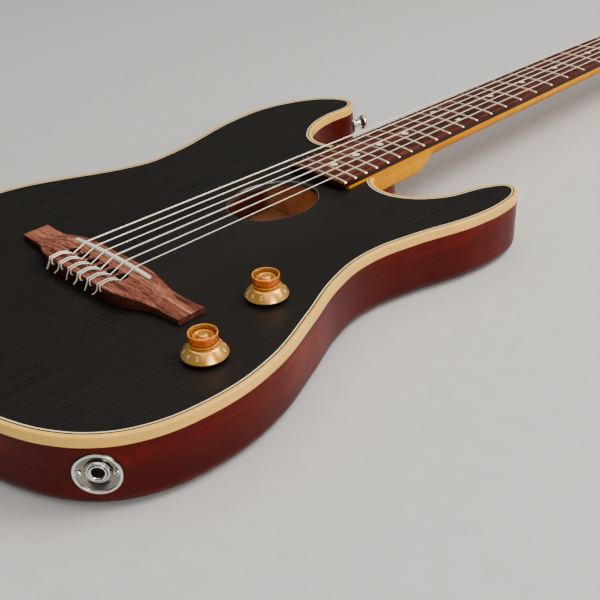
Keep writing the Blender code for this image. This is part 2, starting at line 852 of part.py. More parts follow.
def make_top(outline, mats):
    """The thin top plate, grooved near its edge for the purfling line."""
    groove = TOP_Z - PURFLING_DEPTH - SEAT
    top = solid("body_top", [loft([
        outline.ring(CORE_INSET, TOP_UNDERSIDE_Z),
        outline.ring(CORE_INSET, TOP_Z),
        outline.ring(PURFLING_START - INLAY_GAP, TOP_Z),
        outline.ring(PURFLING_START - INLAY_GAP, groove),
        outline.ring(PURFLING_END + INLAY_GAP, groove),
        outline.ring(PURFLING_END + INLAY_GAP, TOP_Z),
    ])], mats["black_satin"])
    hole = (0.0, SOUNDHOLE_Y)
    levels = [(TOP_UNDERSIDE_Z - CUT_PAST, 0.0), (TOP_Z - SOUNDHOLE_EDGE, 0.0),
              (TOP_Z + CUT_PAST, SOUNDHOLE_EDGE + CUT_PAST)]
    rings = []
    for z, wider in levels:
        edge = ellipse(hole, SOUNDHOLE_HALF_WIDTH + wider, SOUNDHOLE_HALF_LENGTH + wider, SIDES_SOUNDHOLE)
        rings.append([(x, y, z) for x, y in edge])
    cut(top, "soundhole_cutter", [loft(rings)])
    cut(top, "top_pocket_cutter", [neck_clearance(0.0)])
    pots = [place(cylinder(POT_NECK_RADIUS + SEAT, 0.0, TOP_Z + CUT_OPEN, SIDES_MEDIUM), at(x, y))
            for x, y in KNOB_PLACES]
    lead = cylinder(LEAD_RADIUS + SEAT, TOP_UNDERSIDE_Z - CUT_PAST, TOP_Z + CUT_PAST)
    lead = place(lead, at(LEAD_X, SADDLE_Y))
    cut(top, "top_hole_cutter", pots + [lead])
    return top


def make_trim(outline, mats):
    """Cream binding round the edge, and the white purfling line let into the black top."""
    low = TOP_Z - BINDING_HEIGHT
    binding = solid("binding", [outline.hoop([
        (0.0, low),
        (0.0, TOP_Z - BINDING_CHAMFER),
        (BINDING_CHAMFER, TOP_Z),
        (BINDING_WIDTH, TOP_Z),
        (BINDING_WIDTH, low),
    ])], mats["cream"])
    cut(binding, "binding_pocket_cutter", [neck_clearance(0.0)])
    floor = TOP_Z - PURFLING_DEPTH
    line = solid("purfling", [outline.hoop([
        (PURFLING_START, floor),
        (PURFLING_START, TOP_Z),
        (PURFLING_END, TOP_Z),
        (PURFLING_END, floor),
    ])], mats["white_line"])
    cut(line, "purfling_pocket_cutter", [neck_clearance(0.0)])


def make_neck(mats):
    """One loft from the heel through the shaft to the head, which is dropped below the board's plane."""
    neck = solid("neck", [loft([neck_section(y) for y in neck_stations()])], mats["maple"])
    rod_floor = NECK_PLANE_Z - ROD_HEIGHT - SEAT
    half = ROD_WIDTH / 2.0 + SEAT
    rod_end = SCALE - ROD_END_GAP
    cut(neck, "rod_channel_cutter", [box((-half, POCKET_END - CUT_PAST, rod_floor),
                                         (half, rod_end + SEAT, NECK_PLANE_Z + CUT_PAST))])
    hole = cylinder(BUSHING_RADIUS + SEAT, HEAD_BACK_Z - CUT_PAST, HEAD_FACE_Z + CUT_PAST)
    holes = [place(hole, at(*post_axis(n))) for n in range(1, STRING_COUNT + 1)]
    bore = cylinder(NECK_SCREW_RADIUS + SEAT, 0.0, NECK_SCREW_LENGTH + SEAT)
    screws = [place(bore, at(x, y)) for x, y in neck_screw_places()]
    cut(neck, "neck_hole_cutter", holes + screws)
    rod = [box((-ROD_WIDTH / 2.0, POCKET_END + ROD_START_GAP, rod_floor + SEAT),
               (ROD_WIDTH / 2.0, rod_end, NECK_PLANE_Z))]
    solid("truss_rod", rod, mats["steel"])


def make_fretboard(mats):
    """A radiused board with rounded body-end corners, its frets pressed in across it."""
    stations = [(BOARD_END, BOARD_CORNER), (BOARD_END + 0.3 * BOARD_CORNER, 0.3 * BOARD_CORNER),
                (BOARD_END + BOARD_CORNER, 0.0), (SCALE - SEAT, 0.0)]
    low = NECK_PLANE_Z + SEAT
    rings = []
    for y, narrower in stations:
        half = board_half_width(y) - narrower
        ring = [(-half, y, low), (half, y, low)]
        for k in range(BOARD_STRIPS + 1):
            x = half * (1.0 - 2.0 * k / BOARD_STRIPS)
            ring.append((x, y, BOARD_TOP_Z - crown_drop(x)))
        rings.append(ring)
    board = solid("fretboard", [loft(rings)], mats["rosewood"])
    cut(board, "fret_join", [fret_body(number) for number in range(1, FRET_COUNT + 1)], "UNION")


def fret_body(number):
    """A fret that bends over the board's facets, its foot let in and its ends short of the edges."""
    y = fret_y(number)
    half = board_half_width(y)
    rings = []
    for k in range(BOARD_STRIPS + 1):
        x = half * (1.0 - 2.0 * k / BOARD_STRIPS)
        z = BOARD_TOP_Z - crown_drop(x)
        if k in (0, BOARD_STRIPS):
            x = math.copysign(half - FRET_END_INSET, x)
        rings.append([
            (x, y - FRET_WIDTH / 2.0, z - FRET_FOOT),
            (x, y - FRET_CROWN_WIDTH / 2.0, z + FRET_HEIGHT),
            (x, y + FRET_CROWN_WIDTH / 2.0, z + FRET_HEIGHT),
            (x, y + FRET_WIDTH / 2.0, z - FRET_FOOT),
        ])
    return loft(rings)


def make_nut(mats):
    """A bone nut on the neck, its top following the strings, with one slot for each."""
    rings = []
    half = NUT_END_WIDTH / 2.0 - NUT_END_INSET
    for k in range(NUT_STRIPS + 1):
        x = half * (2.0 * k / NUT_STRIPS - 1.0)
        top = (BOARD_TOP_Z - crown_drop(x) + FRET_HEIGHT + STRING_OVER_FRET_AT_NUT
               + 2.0 * string_radius(1) + NUT_ABOVE_STRING)
        rings.append([
            (x, SCALE, NECK_PLANE_Z + SEAT),
            (x, SCALE, top),
            (x, SCALE + NUT_LENGTH - NUT_CHAMFER, top),
            (x, SCALE + NUT_LENGTH, top - NUT_CHAMFER),
            (x, SCALE + NUT_LENGTH, NECK_PLANE_Z + SEAT),
        ])
    nut = solid("nut", [loft(rings)], mats["bone"])
    slots = []
    for number in range(1, STRING_COUNT + 1):
        start = nut_point(number)
        along = start - saddle_point(number)
        radius = string_radius(number) + SEAT
        section = [(radius * math.cos(a), radius * math.sin(a)) for a in half_turn()]
        section += [(-radius, CUT_OPEN), (radius, CUT_OPEN)]
        slots.append(place(prism(section, -CUT_PAST, NUT_LENGTH + CUT_PAST), upright_frame(start, along)))
    cut(nut, "nut_slot_cutter", slots)


def half_turn():
    """Angles of a slot's round floor, from its right side round the bottom to its left."""
    return [-math.pi * k / 4.0 for k in range(5)]


def upright_frame(origin, along):
    """Z along the string, Y up and X across it."""
    z = along.normalized()
    x = Vector((0.0, 0.0, 1.0)).cross(z).normalized() * -1.0
    y = z.cross(x)
    if y.z < 0.0:
        x, y = -x, -y
    frame = Matrix((x, y, z)).transposed().to_4x4()
    return Matrix.Translation(origin) @ frame


def make_bridge(mats):
    """A tie bridge whose thin wings sweep up to a thick middle with a saddle slot and six wells."""
    stations = [(-x, rear, front, height) for x, rear, front, height in reversed(BRIDGE_STATIONS[1:])]
    stations += BRIDGE_STATIONS
    rings = []
    for x, rear, front, height in stations:
        high = TOP_Z + height
        rings.append([
            (x, rear, BRIDGE_Z),
            (x, front, BRIDGE_Z),
            (x, front, high - 1.6 * BRIDGE_EDGE),
            (x, front - BRIDGE_EDGE, high),
            (x, rear + BRIDGE_EDGE, high),
            (x, rear, high - BRIDGE_EDGE),
        ])
    bridge = solid("bridge", [loft(rings)], mats["rosewood"])
    above = TOP_Z + BRIDGE_HEIGHT + CUT_PAST
    slot = prism(stadium(SADDLE_LENGTH + 2.0 * SEAT, SADDLE_WIDTH + 2.0 * SEAT), TOP_Z + SLOT_FLOOR, above)
    wells = []
    holes = []
    tie_hole_length = WELL_Y - BRIDGE_REAR + CUT_PAST
    for number in range(1, STRING_COUNT + 1):
        x = string_x(number, STRING_SPREAD)
        well = ellipse((x, WELL_Y), WELL_HALF_WIDTH, WELL_HALF_LENGTH, SIDES_WELL)
        wells.append(prism(well, TOP_Z + WELL_FLOOR, above))
        hole = cylinder(string_radius(number) + TIE_HOLE_CLEARANCE, 0.0, tie_hole_length, SIDES_SCREW)
        holes.append(place(hole, facing((x, WELL_Y, TOP_Z + TIE_HOLE_HEIGHT), (0.0, -1.0, 0.0))))
    cut(bridge, "saddle_slot_cutter", [slot])
    cut(bridge, "well_cutter", wells)
    cut(bridge, "tie_hole_cutter", holes)
    lead = cylinder(LEAD_RADIUS + SEAT, TOP_Z - CUT_PAST, TOP_Z + SLOT_FLOOR + CUT_PAST)
    cut(bridge, "lead_hole_cutter", [place(lead, at(LEAD_X, SADDLE_Y))])


def stadium(length, width):
    """A straight bar's outline along X at the saddle, with round ends."""
    radius = width / 2.0
    outline = []
    for side in (1.0, -1.0):
        for k in range(7):
            angle = math.radians(-90.0 + 30.0 * k) + (0.0 if side > 0.0 else math.pi)
            outline.append((side * (length / 2.0 - radius) + radius * math.cos(angle),
                            SADDLE_Y + radius * math.sin(angle)))
    return outline


def make_saddle(mats):
    """A bone saddle in its slot, its crown curved like the strings, over the pickup strip."""
    low = TOP_Z + SLOT_FLOOR + SEAT + PICKUP_HEIGHT + SEAT
    crown = TOP_Z + SADDLE_CROWN
    levels = [(low, 0.0, 0.0), (crown - 1.3 * SADDLE_EDGE, 0.0, 1.0), (crown, SADDLE_EDGE, 1.0)]
    rings = []
    for z, inset, follow in levels:
        bar = stadium(SADDLE_LENGTH - 2.0 * inset, SADDLE_WIDTH - 2.0 * inset)
        bar = with_middle(bar, 3)
        rings.append([(x, y, z - follow * x * x / (2.0 * SADDLE_RADIUS)) for x, y in bar])
    solid("saddle", [loft_with_spine(rings)], mats["bone"])
    half = LEAD_X - LEAD_RADIUS - SEAT
    strip = box((-half, SADDLE_Y - PICKUP_WIDTH / 2.0, TOP_Z + SLOT_FLOOR + SEAT),
                (half, SADDLE_Y + PICKUP_WIDTH / 2.0, TOP_Z + SLOT_FLOOR + SEAT + PICKUP_HEIGHT))
    solid("saddle_pickup", [strip], mats["copper"])


def with_middle(outline, count):
    """The bar's outline with extra points along both straight sides, so that it can curve."""
    longer = []
    for i, here in enumerate(outline):
        there = outline[(i + 1) % len(outline)]
        longer.append(here)
        if abs(there[0] - here[0]) > SADDLE_LENGTH / 2.0:
            for k in range(1, count + 1):
                t = k / (count + 1)
                longer.append((here[0] + (there[0] - here[0]) * t, here[1] + (there[1] - here[1]) * t))
    return longer


def loft_with_spine(rings):
    """A loft whose top cap is cut into quads across the bar, so that it bends cleanly."""
    points, faces = loft(rings)
    top = faces.pop(1)
    count = len(top)
    near = [top[i] for i in range(count // 2)]
    far = [top[count - 1 - i] for i in range(count // 2)]
    for i in range(count // 2 - 1):
        faces.append((near[i], near[i + 1], far[i + 1], far[i]))
    return points, faces


def well_wall(x):
    """How far behind the well's centre its curved wall stands, at a distance x from its middle."""
    return 0.96 * WELL_HALF_LENGTH * math.sqrt(1.0 - (x / WELL_HALF_WIDTH) ** 2)


def tie_route(number):
    """Offsets of the knot: the tail, a strand forward over the tie block, under the string, and back."""
    slack = KNOT_SLACK
    clear = SEAT + string_radius(number) + 0.75 * slack
    diagonal = clear * math.sqrt(0.5)
    block = BRIDGE_HEIGHT
    top = block + clear
    rear = BRIDGE_REAR
    behind = rear - clear
    over_rear = rear + clear
    reach = TIE_LOOP_REACH
    wall = WELL_Y - well_wall(reach)
    over_front = wall - 0.4 * clear
    in_well = wall + clear + slack
    half_down = 0.5 * (block + WELL_FLOOR)
    middle = 0.5 * (over_front + over_rear)
    return [
        (-2.5 * reach, behind - 1.5 * slack, 7.5 * slack),
        (-2.2 * reach, behind - 0.5 * slack, 15.0 * slack),
        (-2.0 * reach, behind, block - 2.0 * slack),
        (-2.0 * reach, rear - diagonal, block + diagonal),
        (-1.9 * reach, over_rear, top),
        (-1.4 * reach, middle, top),
        (-1.0 * reach, over_front, top),
        (-1.0 * reach, wall + diagonal, block + diagonal),
        (-1.0 * reach, in_well, half_down),
        (0.0, in_well + 1.5 * slack, WELL_FLOOR + clear + 0.25 * slack),
        (1.0 * reach, in_well, half_down),
        (1.0 * reach, wall + diagonal, block + diagonal),
        (0.9 * reach, over_front, top),
        (0.2 * reach, middle, top),
        (-0.4 * reach, over_rear, top),
        (-0.4 * reach, rear - diagonal, block + diagonal),
        (-0.4 * reach, behind, block - 2.0 * slack),
        (-0.1 * reach, behind - 0.25 * slack, TIE_HOLE_HEIGHT + 1.75 * slack),
        (0.0, rear, TIE_HOLE_HEIGHT),
    ]


def string_path(number):
    """One unbroken route: tail, knot, tie hole, saddle, nut, and the turns round the post."""
    x = string_x(number, STRING_SPREAD)
    points = smooth([(x + dx, y, TOP_Z + z) for dx, y, z in tie_route(number)], False, 2)
    mouth = WELL_Y - WELL_HALF_LENGTH
    points.append(Vector((x, mouth - 1.5 * KNOT_SLACK, TOP_Z + TIE_HOLE_HEIGHT)))
    saddle = saddle_point(number)
    flat = SADDLE_WIDTH / 2.0 - SADDLE_EDGE
    points.append(saddle - Vector((0.0, flat + KNOT_SLACK, 0.25 * KNOT_SLACK)))
    points.append(saddle + Vector((0.0, flat, 0.0)))
    nut = nut_point(number)
    along = (nut - saddle).normalized()
    points += [nut, nut + along * (NUT_LENGTH + 2.0 * SEAT)]
    return points + coil_points(number)


def coil_points(number):
    """The turns round the tuner's post, climbing from where the string arrives."""
    axis = post_axis(number)
    side = tuner_side(number)
    r = string_radius(number)
    reach = POST_WAIST_RADIUS + RUNNING_GAP + r
    pitch = 2.0 * r + COIL_GAP
    low = HEAD_FACE_Z + COIL_HEIGHT
    start = math.pi if side > 0.0 else 0.0
    turns = []
    for k in range(int(COIL_TURNS * COIL_POINTS) + 1):
        share = k / COIL_POINTS
        angle = start - side * 2.0 * math.pi * share
        turns.append(Vector((axis.x + reach * math.cos(angle), axis.y + reach * math.sin(angle),
                             low + pitch * share)))
    return turns


def least_gap(points, radius):
    """The least clear distance between stretches of one tube that aren't neighbours."""
    least = 1.0
    reach = 6.0 * radius
    for i in range(len(points)):
        travelled = 0.0
        for j in range(i + 1, len(points)):
            travelled += (points[j] - points[j - 1]).length
            if travelled > reach:
                least = min(least, (points[j] - points[i]).length - 2.0 * radius)
    return least


def make_strings(mats):
    gaps = []
    for number in range(1, STRING_COUNT + 1):
        curve = bpy.data.curves.new("string_%d" % number, "CURVE")
        curve.dimensions = "3D"
        curve.bevel_depth = string_radius(number)
        curve.bevel_resolution = STRING_SIDES_RESOLUTION
        curve.use_fill_caps = True
        curve.resolution_u = 1
        curve.render_resolution_u = 0
        points = [Vector(p) for p in string_path(number)]
        spline = curve.splines.new("POLY")
        spline.points.add(len(points) - 1)
        for target, point in zip(spline.points, points):
            target.co = (*point, 1.0)
        mat = mats["nylon"] if number <= 3 else mats["wound"]
        add_object("string_%d" % number, curve, mat)
        gaps.append(least_gap(points, string_radius(number)))
    print("least gap of a string to itself: %.2f mm" % (1000.0 * min(gaps)))


def make_tuners(mats):
    """Six sealed tuners: a fixed case whose bushing goes through the head, a post and a button."""
    for number in range(1, STRING_COUNT + 1):
        axis = post_axis(number)
        side = tuner_side(number)
        make_case(number, axis, side, mats)
        make_post(number, axis, mats)
        make_button(number, axis, side, mats)


def make_case(number, axis, side, mats):
    """A cast case under the head, joined to its bushing and bored for the post and the worm shaft."""
    case = solid("tuner_case_%d" % number, [housing_body(side)], mats["chrome"])
    high = HEAD_FACE_Z + SEAT + BUSHING_WASHER_HEIGHT + BUSHING_NUT_HEIGHT
    bore = free_bore(POST_RADIUS, SIDES_SMALL)
    low = HEAD_BACK_Z - POST_DEPTH_IN_HOUSING - RUNNING_GAP
    worm = cylinder(free_bore(SHAFT_RADIUS, SIDES_SCREW), 0.0, SHAFT_INSIDE + CUT_PAST, SIDES_SCREW)
    start = side * (HOUSING_OUTER_X - POST_X - SHAFT_INSIDE - RUNNING_GAP)
    worm = place(worm, facing((start, -WORM_OFFSET, WORM_Z), (side, 0.0, 0.0)))
    cutters = [
        cut(case, "bushing_join_%d" % number, [bushing_body(high)], "UNION"),
        cut(case, "post_bore_%d" % number, [cylinder(bore, low, high + CUT_PAST)]),
        cut(case, "worm_bore_%d" % number, [worm]),
    ]
    for piece in [case] + cutters:
        piece.location = axis


def bushing_body(high):
    """The sleeve through the head, with its washer and nut on the face."""
    face = HEAD_FACE_Z + SEAT
    washer = face + BUSHING_WASHER_HEIGHT
    low = HEAD_BACK_Z - 0.5 * POST_DEPTH_IN_HOUSING
    return turned([(0.0, low), (BUSHING_RADIUS, low), (BUSHING_RADIUS, face), (BUSHING_WASHER_RADIUS, face),
                   (BUSHING_WASHER_RADIUS, washer), (BUSHING_NUT_RADIUS, high), (0.0, high)], SIDES_SMALL)


def housing_body(side):
    """A box with softened edges round the worm and its gear, drawn about the post's axis."""
    inner = HOUSING_INNER_X - POST_X
    outer = HOUSING_OUTER_X - POST_X
    low_y = -WORM_OFFSET - HOUSING_PAST_WORM
    high_y = low_y + HOUSING_LENGTH
    corners = [(inner, low_y), (outer, low_y), (outer, high_y), (inner, high_y)]
    high = HEAD_BACK_Z - SEAT
    low = high - HOUSING_DEPTH
    rings = []
    for z, inset in ((low, HOUSING_CHAMFER), (low + HOUSING_CHAMFER, 0.0), (high, 0.0)):
        outline = rounded(grown(corners, -inset), HOUSING_CORNER - 0.5 * inset, 1)
        rings.append([(side * x, y, z) for x, y in outline])
    return loft(rings)


def make_post(number, axis, mats):
    face = HEAD_FACE_Z
    low = HEAD_BACK_Z - POST_DEPTH_IN_HOUSING
    top = face + POST_HEIGHT
    waist_low = face + POST_WAIST_LOW
    waist_high = face + POST_WAIST_HIGH
    hole = face + POST_HOLE_HEIGHT
    body = turned([(0.0, low), (POST_RADIUS, low), (POST_RADIUS, waist_low - POST_STEP),
                   (POST_WAIST_RADIUS, waist_low), (POST_WAIST_RADIUS, waist_high),
                   (POST_RADIUS, waist_high + POST_STEP), (POST_RADIUS, top - POST_CHAMFER),
                   (POST_RADIUS - POST_CHAMFER, top), (0.0, top)], SIDES_SMALL)
    post = solid("tuner_post_%d" % number, [body], mats["chrome"])
    post.location = axis
    bore = cylinder(POST_HOLE_RADIUS, -2.0 * POST_RADIUS, 2.0 * POST_RADIUS, SIDES_SCREW)
    cutter = cut(post, "post_hole_cutter_%d" % number, [place(bore, facing((0.0, 0.0, hole), (0.0, 1.0, 0.0)))])
    cutter.location = axis


def make_button(number, axis, side, mats):
    """A flat, waisted button on its worm shaft, drawn with X running out along the shaft."""
    given = BUTTON_OUTLINE + [(x, -y) for x, y in reversed(BUTTON_OUTLINE)]
    curve = smooth(given, True, 6)
    kept = [curve[i] for i in thin_out(curve, BUTTON_SAG)]
    centre = Vector((0.5 * BUTTON_OUTLINE[-1][0], 0.0))
    rings = []
    thick = BUTTON_THICKNESS / 2.0
    for z, inset in ((-thick, BUTTON_CHAMFER), (-thick + BUTTON_CHAMFER, 0.0),
                     (thick - BUTTON_CHAMFER, 0.0), (thick, BUTTON_CHAMFER)):
        ring = []
        for p in kept:
            out = p - centre
            shrunk = centre + out * (1.0 - inset / out.length)
            ring.append((shrunk.x + BUTTON_START - POST_X, shrunk.y, z))
        rings.append(ring)
    button = solid("tuner_button_%d" % number, [loft(rings)], mats["cream_button"])
    inner = HOUSING_OUTER_X - SHAFT_INSIDE - POST_X
    shaft = place(cylinder(SHAFT_RADIUS, 0.0, BUTTON_START + SHAFT_IN_BUTTON - POST_X - inner, SIDES_SCREW),
                  facing((inner, 0.0, 0.0), (1.0, 0.0, 0.0)))
    joined = cut(button, "shaft_join_%d" % number, [shaft], "UNION")
    for piece in (button, joined):
        piece.location = (side * POST_X, axis.y - WORM_OFFSET, WORM_Z)
        piece.rotation_euler = (0.0, 0.0, 0.0 if side > 0.0 else math.pi)


def make_knobs(mats):
    """Two top-hat knobs on potentiometers that hang from the top plate by their nuts."""
    for number, (x, y) in enumerate(KNOB_PLACES, 1):
        low = TOP_Z + KNOB_GAP
        high = low + KNOB_HEIGHT
        brim = KNOB_SKIRT_RADIUS
        rim = KNOB_RIM_RADIUS
        bore = POT_SHAFT_RADIUS + SEAT
        hollow = low + KNOB_HOLLOW
        edge = KNOB_EDGE
        groove = low + KNOB_SKIRT_HEIGHT + edge
        dish = high - KNOB_DISH_DEPTH
        profile = [
            (bore, hollow), (POT_NUT_RADIUS + KNOB_NUT_ROOM, hollow), (brim - KNOB_WALL, low),
            (brim - edge, low), (brim, low + edge), (rim + edge, low + KNOB_SKIRT_HEIGHT),
            (rim - edge, groove), (rim, groove + 2.0 * edge), (rim, high - edge), (rim - edge, high),
            (rim - KNOB_WALL, high), (rim - KNOB_WALL - edge, dish), (KNOB_BOSS_RADIUS, dish),
        ]
        body = knob_body(profile, low + KNOB_BORE_DEPTH, bore, dish + KNOB_BOSS_HEIGHT)
        knob = solid("knob_%d" % number, [body], mats["amber"])
        pot = solid("pot_%d" % number, [pot_body()], mats["steel"])
        shaft = cylinder(POT_SHAFT_RADIUS, POT_FLOOR_Z + RUNNING_GAP, TOP_Z + POT_SHAFT_ABOVE_TOP)
        shaft = solid("pot_shaft_%d" % number, [shaft], mats["steel"])
        for piece in (knob, pot, shaft):
            piece.location = (x, y, 0.0)


def pot_body():
    """The case under the top, its neck through the hole and its nut on the face, round a blind bore."""
    high = TOP_UNDERSIDE_Z - SEAT
    low = high - POT_CASE_HEIGHT
    neck = TOP_Z + POT_NECK_ABOVE_TOP
    nut_low = TOP_Z + SEAT
    nut_high = nut_low + POT_NUT_HEIGHT
    sides = SIDES_POT
    bore = free_bore(POT_SHAFT_RADIUS, sides)
    points, faces = turned([
        (bore, POT_FLOOR_Z), (bore, neck), (POT_NECK_RADIUS, neck), (POT_NECK_RADIUS, nut_high),
        (POT_NUT_RADIUS, nut_high), (POT_NUT_RADIUS, nut_low), (POT_NECK_RADIUS, nut_low),
        (POT_NECK_RADIUS, high), (POT_CASE_RADIUS, high), (POT_CASE_RADIUS, low + POT_CASE_EDGE),
        (POT_CASE_RADIUS - POT_CASE_EDGE, low)], sides)
    count = len(points) // sides
    faces = [f for f in faces if not {0, count - 1} <= {k % count for k in f}]
    faces.append(tuple(i * count for i in range(sides)))
    faces.append(tuple(i * count + count - 1 for i in range(sides)))
    return points, faces


def knob_body(profile, roof, bore, boss):
    """The knob's outer skin as a turned wall, closed by a boss on top and a blind bore below."""
    sides = SIDES_LARGE
    points = [(0.0, 0.0, boss), (0.0, 0.0, roof)]
    rows = [(bore, roof)] + profile
    for i in range(sides):
        angle = 2.0 * math.pi * i / sides
        points += [(r * math.cos(angle), r * math.sin(angle), z) for r, z in rows]
    faces = []
    count = len(rows)
    for i in range(sides):
        here = 2 + i * count
        there = 2 + ((i + 1) % sides) * count
        for k in range(count - 1):
            faces.append((here + k, here + k + 1, there + k + 1, there + k))
        faces.append((1, here, there))
        faces.append((0, here + count - 1, there + count - 1))
    return points, faces


def jack_frame(outline):
    """Origin where the jack's axis leaves the side, Z pointing out of the body and X level."""
    return outline.frame_facing(JACK_DIRECTION_DEG, -1, JACK_HEIGHT)


def jack_bore():
    """The stepped hole for the cup and the socket behind it, through to the control cavity."""
    inner = -(CUP_SEAT + CUP_DEPTH + JACK_BODY_LENGTH + JACK_BORE_SPARE)
    well = CUP_WELL_RADIUS + SEAT
    mouth = CUP_RADIUS + SEAT
    ledge = -(CUP_SEAT + SEAT)
    return turned([(0.0, inner), (well, inner), (well, ledge), (mouth, ledge), (mouth, CUT_OPEN),
                   (0.0, CUT_OPEN)], SIDES_LARGE)


def jack_screw_frames(outline):
    """The two cup screws lie level, one on each side of the hole."""
    frame = jack_frame(outline)
    out = frame.to_3x3() @ Vector((0.0, 0.0, 1.0))
    level = Vector((0.0, 0.0, 1.0)).cross(out)
    return [Matrix.Translation(level * CUP_SCREW_OFFSET * side) @ frame for side in (-1.0, 1.0)]


def jack_screw_holes(outline):
    bore = cylinder(CUP_SCREW_RADIUS + SEAT, -CUP_SCREW_LENGTH - CUT_PAST, CUT_OPEN, SIDES_SCREW)
    return [place(bore, frame) for frame in jack_screw_frames(outline)]


def make_jack(outline, mats):
    """A dished chrome cup let into the side, with the socket bolted through its floor."""
    frame = jack_frame(outline)
    floor = -CUP_DEPTH
    sheet = CUP_SHEET
    lip = CUP_LIP
    hole = JACK_NECK_RADIUS + SEAT
    cup = turned([
        (hole, floor), (CUP_WELL_RADIUS, floor), (CUP_WELL_RADIUS, -CUP_SEAT), (CUP_RADIUS - sheet, -CUP_SEAT),
        (CUP_RADIUS, -CUP_SEAT + sheet), (CUP_RADIUS, 0.4 * lip), (CUP_RADIUS - 0.6 * lip, lip),
        (CUP_RADIUS - 2.2 * lip, lip), (CUP_RADIUS - 2.9 * lip, -0.9 * lip),
        (CUP_WELL_RADIUS - 0.5 * lip, -1.1 * lip),
        (CUP_WELL_RADIUS - 1.8 * sheet, floor + sheet), (hole, floor + sheet),
    ], SIDES_LARGE)
    jack_cup = solid("jack_cup", [place(cup, frame)], mats["chrome"])
    screw = turned([
        (0.0, -CUP_SCREW_LENGTH), (CUP_SCREW_RADIUS, -CUP_SCREW_LENGTH), (CUP_SCREW_RADIUS, CUP_SCREW_HEAD_LOW),
        (CUP_SCREW_HEAD_RADIUS, CUP_SCREW_HEAD_LOW), (0.9 * CUP_SCREW_HEAD_RADIUS, CUP_SCREW_HEAD_HIGH),
        (0.0, CUP_SCREW_HEAD_HIGH)], SIDES_SCREW)
    cut(jack_cup, "cup_screw_join", [place(screw, spot) for spot in jack_screw_frames(outline)], "UNION")
    back = floor - SEAT - JACK_BODY_LENGTH
    front = floor + JACK_NECK_LENGTH
    socket = turned([(JACK_BORE_RADIUS, back), (JACK_BODY_RADIUS, back), (JACK_BODY_RADIUS, floor - SEAT),
                     (JACK_NECK_RADIUS, floor - SEAT), (JACK_NECK_RADIUS, front), (JACK_BORE_RADIUS, front)],
                    SIDES_MEDIUM)
    solid("jack_socket", [place(socket, frame)], mats["steel"])
    nut_low = floor + sheet + SEAT
    nut_high = nut_low + JACK_NUT_HEIGHT
    nut = turned([(hole, nut_low), (JACK_NUT_RADIUS, nut_low), (JACK_NUT_RADIUS, nut_high), (hole, nut_high)],
                 SIDES_MEDIUM)
    solid("jack_nut", [place(nut, frame)], mats["chrome"])


def strap_frame(outline, key):
    end = 1 if key == "horn" else -1
    return outline.frame_facing(STRAP_FACES[key], end, STRAP_HEIGHT)


def strap_cutters(outline):
    """A flat spot for the felt, stepping down to the screw's hole."""
    seat = STRAP_SEAT_RADIUS + SEAT
    bore = STRAP_SCREW_RADIUS + SEAT
    low = -STRAP_SCREW_LENGTH - SEAT
    spot = turned([(0.0, low), (bore, low), (bore, -STRAP_SEAT_DEPTH), (seat, -STRAP_SEAT_DEPTH),
                   (seat, CUT_OPEN), (0.0, CUT_OPEN)], SIDES_MEDIUM)
    return [place(spot, strap_frame(outline, key)) for key in STRAP_FACES]


def make_strap_buttons(outline, mats):
    """A chrome button with its screw, on a felt washer, at the bass horn and at the tail."""
    low = -STRAP_SEAT_DEPTH + SEAT
    felt_top = low + FELT_THICKNESS
    base = felt_top + SEAT
    tip = base + STRAP_LENGTH
    bore = STRAP_SCREW_RADIUS + SEAT
    for key in STRAP_FACES:
        frame = strap_frame(outline, key)
        felt = turned([(bore, low), (STRAP_SEAT_RADIUS, low), (STRAP_SEAT_RADIUS, felt_top), (bore, felt_top)],
                      SIDES_MEDIUM)
        solid("strap_felt_%s" % key, [place(felt, frame)], mats["felt"])
        button = turned([
            (0.0, -STRAP_SCREW_LENGTH), (STRAP_SCREW_RADIUS, -STRAP_SCREW_LENGTH + STRAP_SCREW_POINT),
            (STRAP_SCREW_RADIUS, base), (STRAP_BASE_RADIUS, base),
            (STRAP_BASE_RADIUS, base + STRAP_BASE_HEIGHT), (STRAP_WAIST_RADIUS, base + 0.35 * STRAP_LENGTH),
            (STRAP_WAIST_RADIUS, base + 0.62 * STRAP_LENGTH), (STRAP_RADIUS, base + 0.84 * STRAP_LENGTH),
            (STRAP_RADIUS - STRAP_EDGE, tip), (0.5 * STRAP_RADIUS, tip),
            (0.3 * STRAP_RADIUS, tip - STRAP_RECESS), (0.0, tip - STRAP_RECESS),
        ], SIDES_MEDIUM)
        solid("strap_button_%s" % key, [place(button, frame)], mats["chrome"])


def neck_screw_places():
    return [(side * NECK_SCREW_X, y) for side in (-1.0, 1.0) for y in NECK_SCREW_Y]


def neck_screw_cutters():
    """A stepped hole from the back for each ferrule and its screw."""
    seat = FERRULE_RADIUS + SEAT
    bore = NECK_SCREW_RADIUS + SEAT
    deep = FERRULE_DEPTH + SEAT
    low = -CUT_PAST
    high = POCKET_FLOOR_Z + CUT_PAST
    hole = turned([(0.0, low), (seat, low), (seat, deep), (bore, deep), (bore, high), (0.0, high)], SIDES_SMALL)
    return [place(hole, at(x, y)) for x, y in neck_screw_places()]


def make_neck_screws(mats):
    """Four long screws, each with its ferrule, hold the neck from the back."""
    face = BACK_RECESS
    head = face + NECK_SCREW_RECESS
    for number, (x, y) in enumerate(neck_screw_places(), 1):
        body = turned([
            (0.0, head), (NECK_SCREW_HEAD_RADIUS - NECK_SCREW_HEAD_EDGE, head),
            (NECK_SCREW_HEAD_RADIUS, face), (FERRULE_RADIUS, face), (FERRULE_RADIUS, FERRULE_DEPTH),
            (NECK_SCREW_RADIUS, FERRULE_DEPTH), (NECK_SCREW_RADIUS, NECK_SCREW_LENGTH),
            (0.0, NECK_SCREW_LENGTH)], SIDES_SMALL)
        solid("neck_screw_%d" % number, [place(body, at(x, y))], mats["chrome"])


